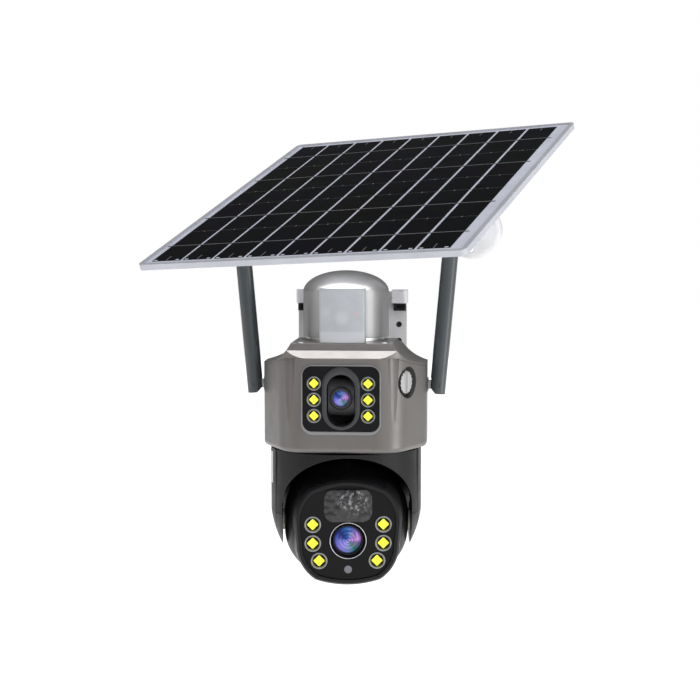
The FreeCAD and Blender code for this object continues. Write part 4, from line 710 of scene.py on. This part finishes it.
def lamp(name, place, cup_radius, body):
    """The black carrier and yellow chip in one reflector cup; the placement's Z points out of the cup."""
    floor = -CUP_FLOOR * cup_radius * MM
    carrier = CARRIER_REACH * cup_radius * MM
    bm = bmesh.new()
    above = floor + CARRIER_ABOVE
    below = floor - CARRIER_BELOW
    lathe(bm, [(0, above), (carrier, above), (carrier, below), (0, below)], place, 32)
    mesh_piece(name + "_carrier", bm, BLACK_GLOSS, body)
    bm = bmesh.new()
    chip = [(x * MM, y * MM) for x, y in star_outline(CHIP_REACH * cup_radius)]
    prism(bm, chip, floor, floor + CHIP_THICK, place)
    mesh_piece(name + "_chip", bm, PHOSPHOR, body, angle=50)


def add_lamps():
    """A chip in each of the twelve cups, at the middle of each cup's own box."""
    for node, frame_of, body, radius in (("upper_lamp_cups", SHOULDER, "root", UPPER_CUP_R),
                                         ("head_lamp_cups", HEAD, "head", HEAD_CUP_R)):
        facing = frame_of.to_3x3().to_4x4() @ FACING_FRONT
        back = frame_of.to_3x3() @ Vector((0, 1, 0))
        for number, cup in enumerate(islands(node)):
            depth = (CUP_DEPTH_SHARE * radius + CUP_RIM) * MM
            front = middle(cup) - back * depth / 2
            lamp(f"{body}_lamp_{number}", Matrix.Translation(front) @ facing, radius, body)


# ---- lens details ------------------------------------------------------------------------------
def add_lens_rings():
    """The bright rim of the main lens and the dark front ring of the small one."""
    place = at(HEAD, HEAD_LENS[0], -47.85, HEAD_LENS[1]) @ FACING_FRONT
    bm = bmesh.new()
    steps = [(13.0, -0.3), (13.1, 0.2), (13.55, 0.2), (13.75, -0.3), (13.0, -0.3)]
    lathe(bm, [(r * MM, h * MM) for r, h in steps], place, 96)
    mesh_piece("main_lens_rim", bm, CHROME, "head")
    place = at(SHOULDER, UPPER_LENS[0], -51.25, UPPER_LENS[1]) @ FACING_FRONT
    bm = bmesh.new()
    steps = [(5.9, -0.3), (6.2, 0.1), (6.9, 0.1), (7.1, -0.1), (8.1, -0.1), (8.45, -0.5), (5.9, -0.5),
             (5.9, -0.3)]
    lathe(bm, [(r * MM, h * MM) for r, h in steps], place, 72)
    mesh_piece("small_lens_ring", bm, DARK_GREY, "upper_lens", angle=20)


def stadium_outline(width, height, steps=20):
    """A slot shape with round ends, as points about its own middle."""
    radius = width / 2
    reach = height / 2 - radius
    outline = []
    for end in (1, -1):
        for step in range(steps + 1):
            turn = math.pi * step / steps
            outline.append((end * radius * math.cos(turn), end * (reach + radius * math.sin(turn))))
    return outline


# The collar's section from the slot outwards: width, height, Z of its middle, lift off the shoulder's front.
COLLAR_RINGS = [
    (20.6, 38.0, -36.6, -0.4),
    (20.9, 38.4, -36.6, 0.5),
    (22.4, 41.0, -35.9, 0.9),
    (26.6, 45.2, -35.2, 0.8),
    (27.8, 46.4, -35.1, 0.1),
    (27.8, 46.4, -35.1, -0.3),
]


def add_slot_collar():
    """The raised hood round the small lens's slot: thick at the top, thin at the bottom."""
    place = at(SHOULDER, 0, -51.6, 0) @ FACING_FRONT
    bm = bmesh.new()
    loops = []
    for width, height, z, lift in COLLAR_RINGS:
        outline = stadium_outline(width, height)
        loops.append([bm.verts.new(place @ Vector((x * MM, (y + z) * MM, lift * MM))) for x, y in outline])
    for inner, outer in zip(loops, loops[1:] + loops[:1]):
        count = len(inner)
        for i in range(count):
            bm.faces.new((inner[i], outer[i], outer[(i + 1) % count], inner[(i + 1) % count]))
    mesh_piece("slot_collar", bm, DARK_GREY, "root", angle=60)


def add_slot_shield():
    """The curved shield that fills the slot above and below the small lens and tilts with it."""
    hinge = at(SHOULDER, 0, -35.0, UPPER_LENS[1])
    outer = 14.0
    inner = 13.2
    half = 9.8
    sweep = math.radians(84)
    steps = 28
    corners = ((-half, outer), (half, outer), (half, inner), (-half, inner))
    bm = bmesh.new()
    rows = []
    for step in range(steps + 1):
        turn = -sweep + 2 * sweep * step / steps
        rows.append([bm.verts.new(hinge @ (Vector((x, -r * math.cos(turn), r * math.sin(turn))) * MM))
                     for x, r in corners])
    for low, high in zip(rows, rows[1:]):
        for i in range(4):
            after = (i + 1) % 4
            bm.faces.new((low[i], low[after], high[after], high[i]))
    bm.faces.new(rows[0])
    bm.faces.new(rows[-1])
    mesh_piece("slot_shield", bm, SHIELD_GREY, "upper_lens")


# ---- panel details -----------------------------------------------------------------------------
PANEL_W = 225.5
PANEL_D = 254.5
STRIP_LEFT = -PANEL_W / 2 + 7.5
STRIP_RIGHT = PANEL_W / 2 - 11.7
STRIP_HALF = PANEL_D / 2 - 7.1
STRIPS = 9
STRIP_GAP = 2.2
CELL_TOP = 0.4                        # the cells stand this far above the backing sheet
LINE_FOOT = CELL_TOP - 0.05           # the lines start this low, just inside the cells
LINE_TOP = CELL_TOP + 0.05            # and most of them stand this high
END_TICK = 7.0                        # length of the tick at each end of a strip
TAB_WIDTH = 2.4
TAB_INSET = 1.2                       # from a strip's edge to its tab


def strip_edges():
    """Left and right edge of each cell strip."""
    pitch = (STRIP_RIGHT - STRIP_LEFT + STRIP_GAP) / STRIPS
    return [(STRIP_LEFT + i * pitch, STRIP_LEFT + (i + 1) * pitch - STRIP_GAP) for i in range(STRIPS)]


def panel_block(bm, x0, x1, y0, y1, low, high):
    """A small block on the panel's face, in millimetres."""
    block(bm, (x0 * MM, y0 * MM, low * MM), (x1 * MM, y1 * MM, high * MM), PANEL)


def at_depth(share):
    """The distance along the strips for a share of their length."""
    return -STRIP_HALF + 2 * STRIP_HALF * share


def add_panel_lines():
    """Silver busbars, thin solder lines with a tick on each strip, end ticks and white tabs."""
    bars = bmesh.new()
    for share in (1 / 9, 3 / 9, 6 / 9, 8 / 9):
        y = at_depth(share)
        panel_block(bars, STRIP_LEFT - 3.2, STRIP_RIGHT + 3.2, y - 0.45, y + 0.45, LINE_FOOT, CELL_TOP + 0.06)
    for share in (2 / 9, 4 / 9, 5 / 9, 7 / 9):
        y = at_depth(share)
        panel_block(bars, STRIP_LEFT, STRIP_RIGHT, y - 0.10, y + 0.10, LINE_FOOT, CELL_TOP + 0.04)
        for x0, x1 in strip_edges():
            centre = (x0 + x1) / 2
            panel_block(bars, centre - 0.5, centre + 0.5, y - 0.9, y + 0.9, LINE_FOOT, LINE_TOP)
    for x0, x1 in strip_edges():
        centre = (x0 + x1) / 2
        for share in (0.0, 1.0):
            y = at_depth(share)
            inner = END_TICK if share == 0 else -END_TICK
            near = min(y, y + inner)
            far = max(y, y + inner)
            panel_block(bars, centre - 0.35, centre + 0.35, near, far, LINE_FOOT, LINE_TOP)
    mesh_piece("panel_busbars", bars, BUSBAR, "solar_panel", smooth=False)
    tabs = bmesh.new()
    for x0, x1 in strip_edges():
        for x in (x0 + TAB_INSET, x1 - TAB_INSET - TAB_WIDTH):
            panel_block(tabs, x, x + TAB_WIDTH, at_depth(0) - 0.2, at_depth(0) + 1.3, LINE_FOOT, LINE_TOP)
    mesh_piece("panel_tabs", tabs, BACKING_WHITE, "solar_panel", smooth=False)


PLATE_HOLE_X = 37.5
PLATE_HOLE_Z = (11.5, -1.7, -33.0)
PLATE_FRONT = -4.0                    # Y of the wall plate's front


def add_plate_hole_shade_cups():
    """A dark cup deep in each screw hole of the wall plate: painted shade inside the hole, not a real plug.
    """
    for side in (-1, 1):
        for row, z in enumerate(PLATE_HOLE_Z):
            place = Matrix.Translation((side * PLATE_HOLE_X * MM, PLATE_FRONT * MM, z * MM)) @ FACING_FRONT
            bm = bmesh.new()
            steps = [(0, -2.0), (1.5, -2.0), (2.25, -0.4), (2.25, -2.8), (0, -2.8)]
            lathe(bm, [(r * MM, h * MM) for r, h in steps], place, 32)
            # each dark cup stands in for the shade in a hole
            mesh_piece(f"plate_hole_shade_cup_{'right' if side > 0 else 'left'}_{row}", bm, DARK_GREY, "root")


add_lamps()
add_lens_rings()
add_plate_hole_shade_cups()
add_slot_collar()
add_slot_shield()
add_panel_lines()
dress_all()
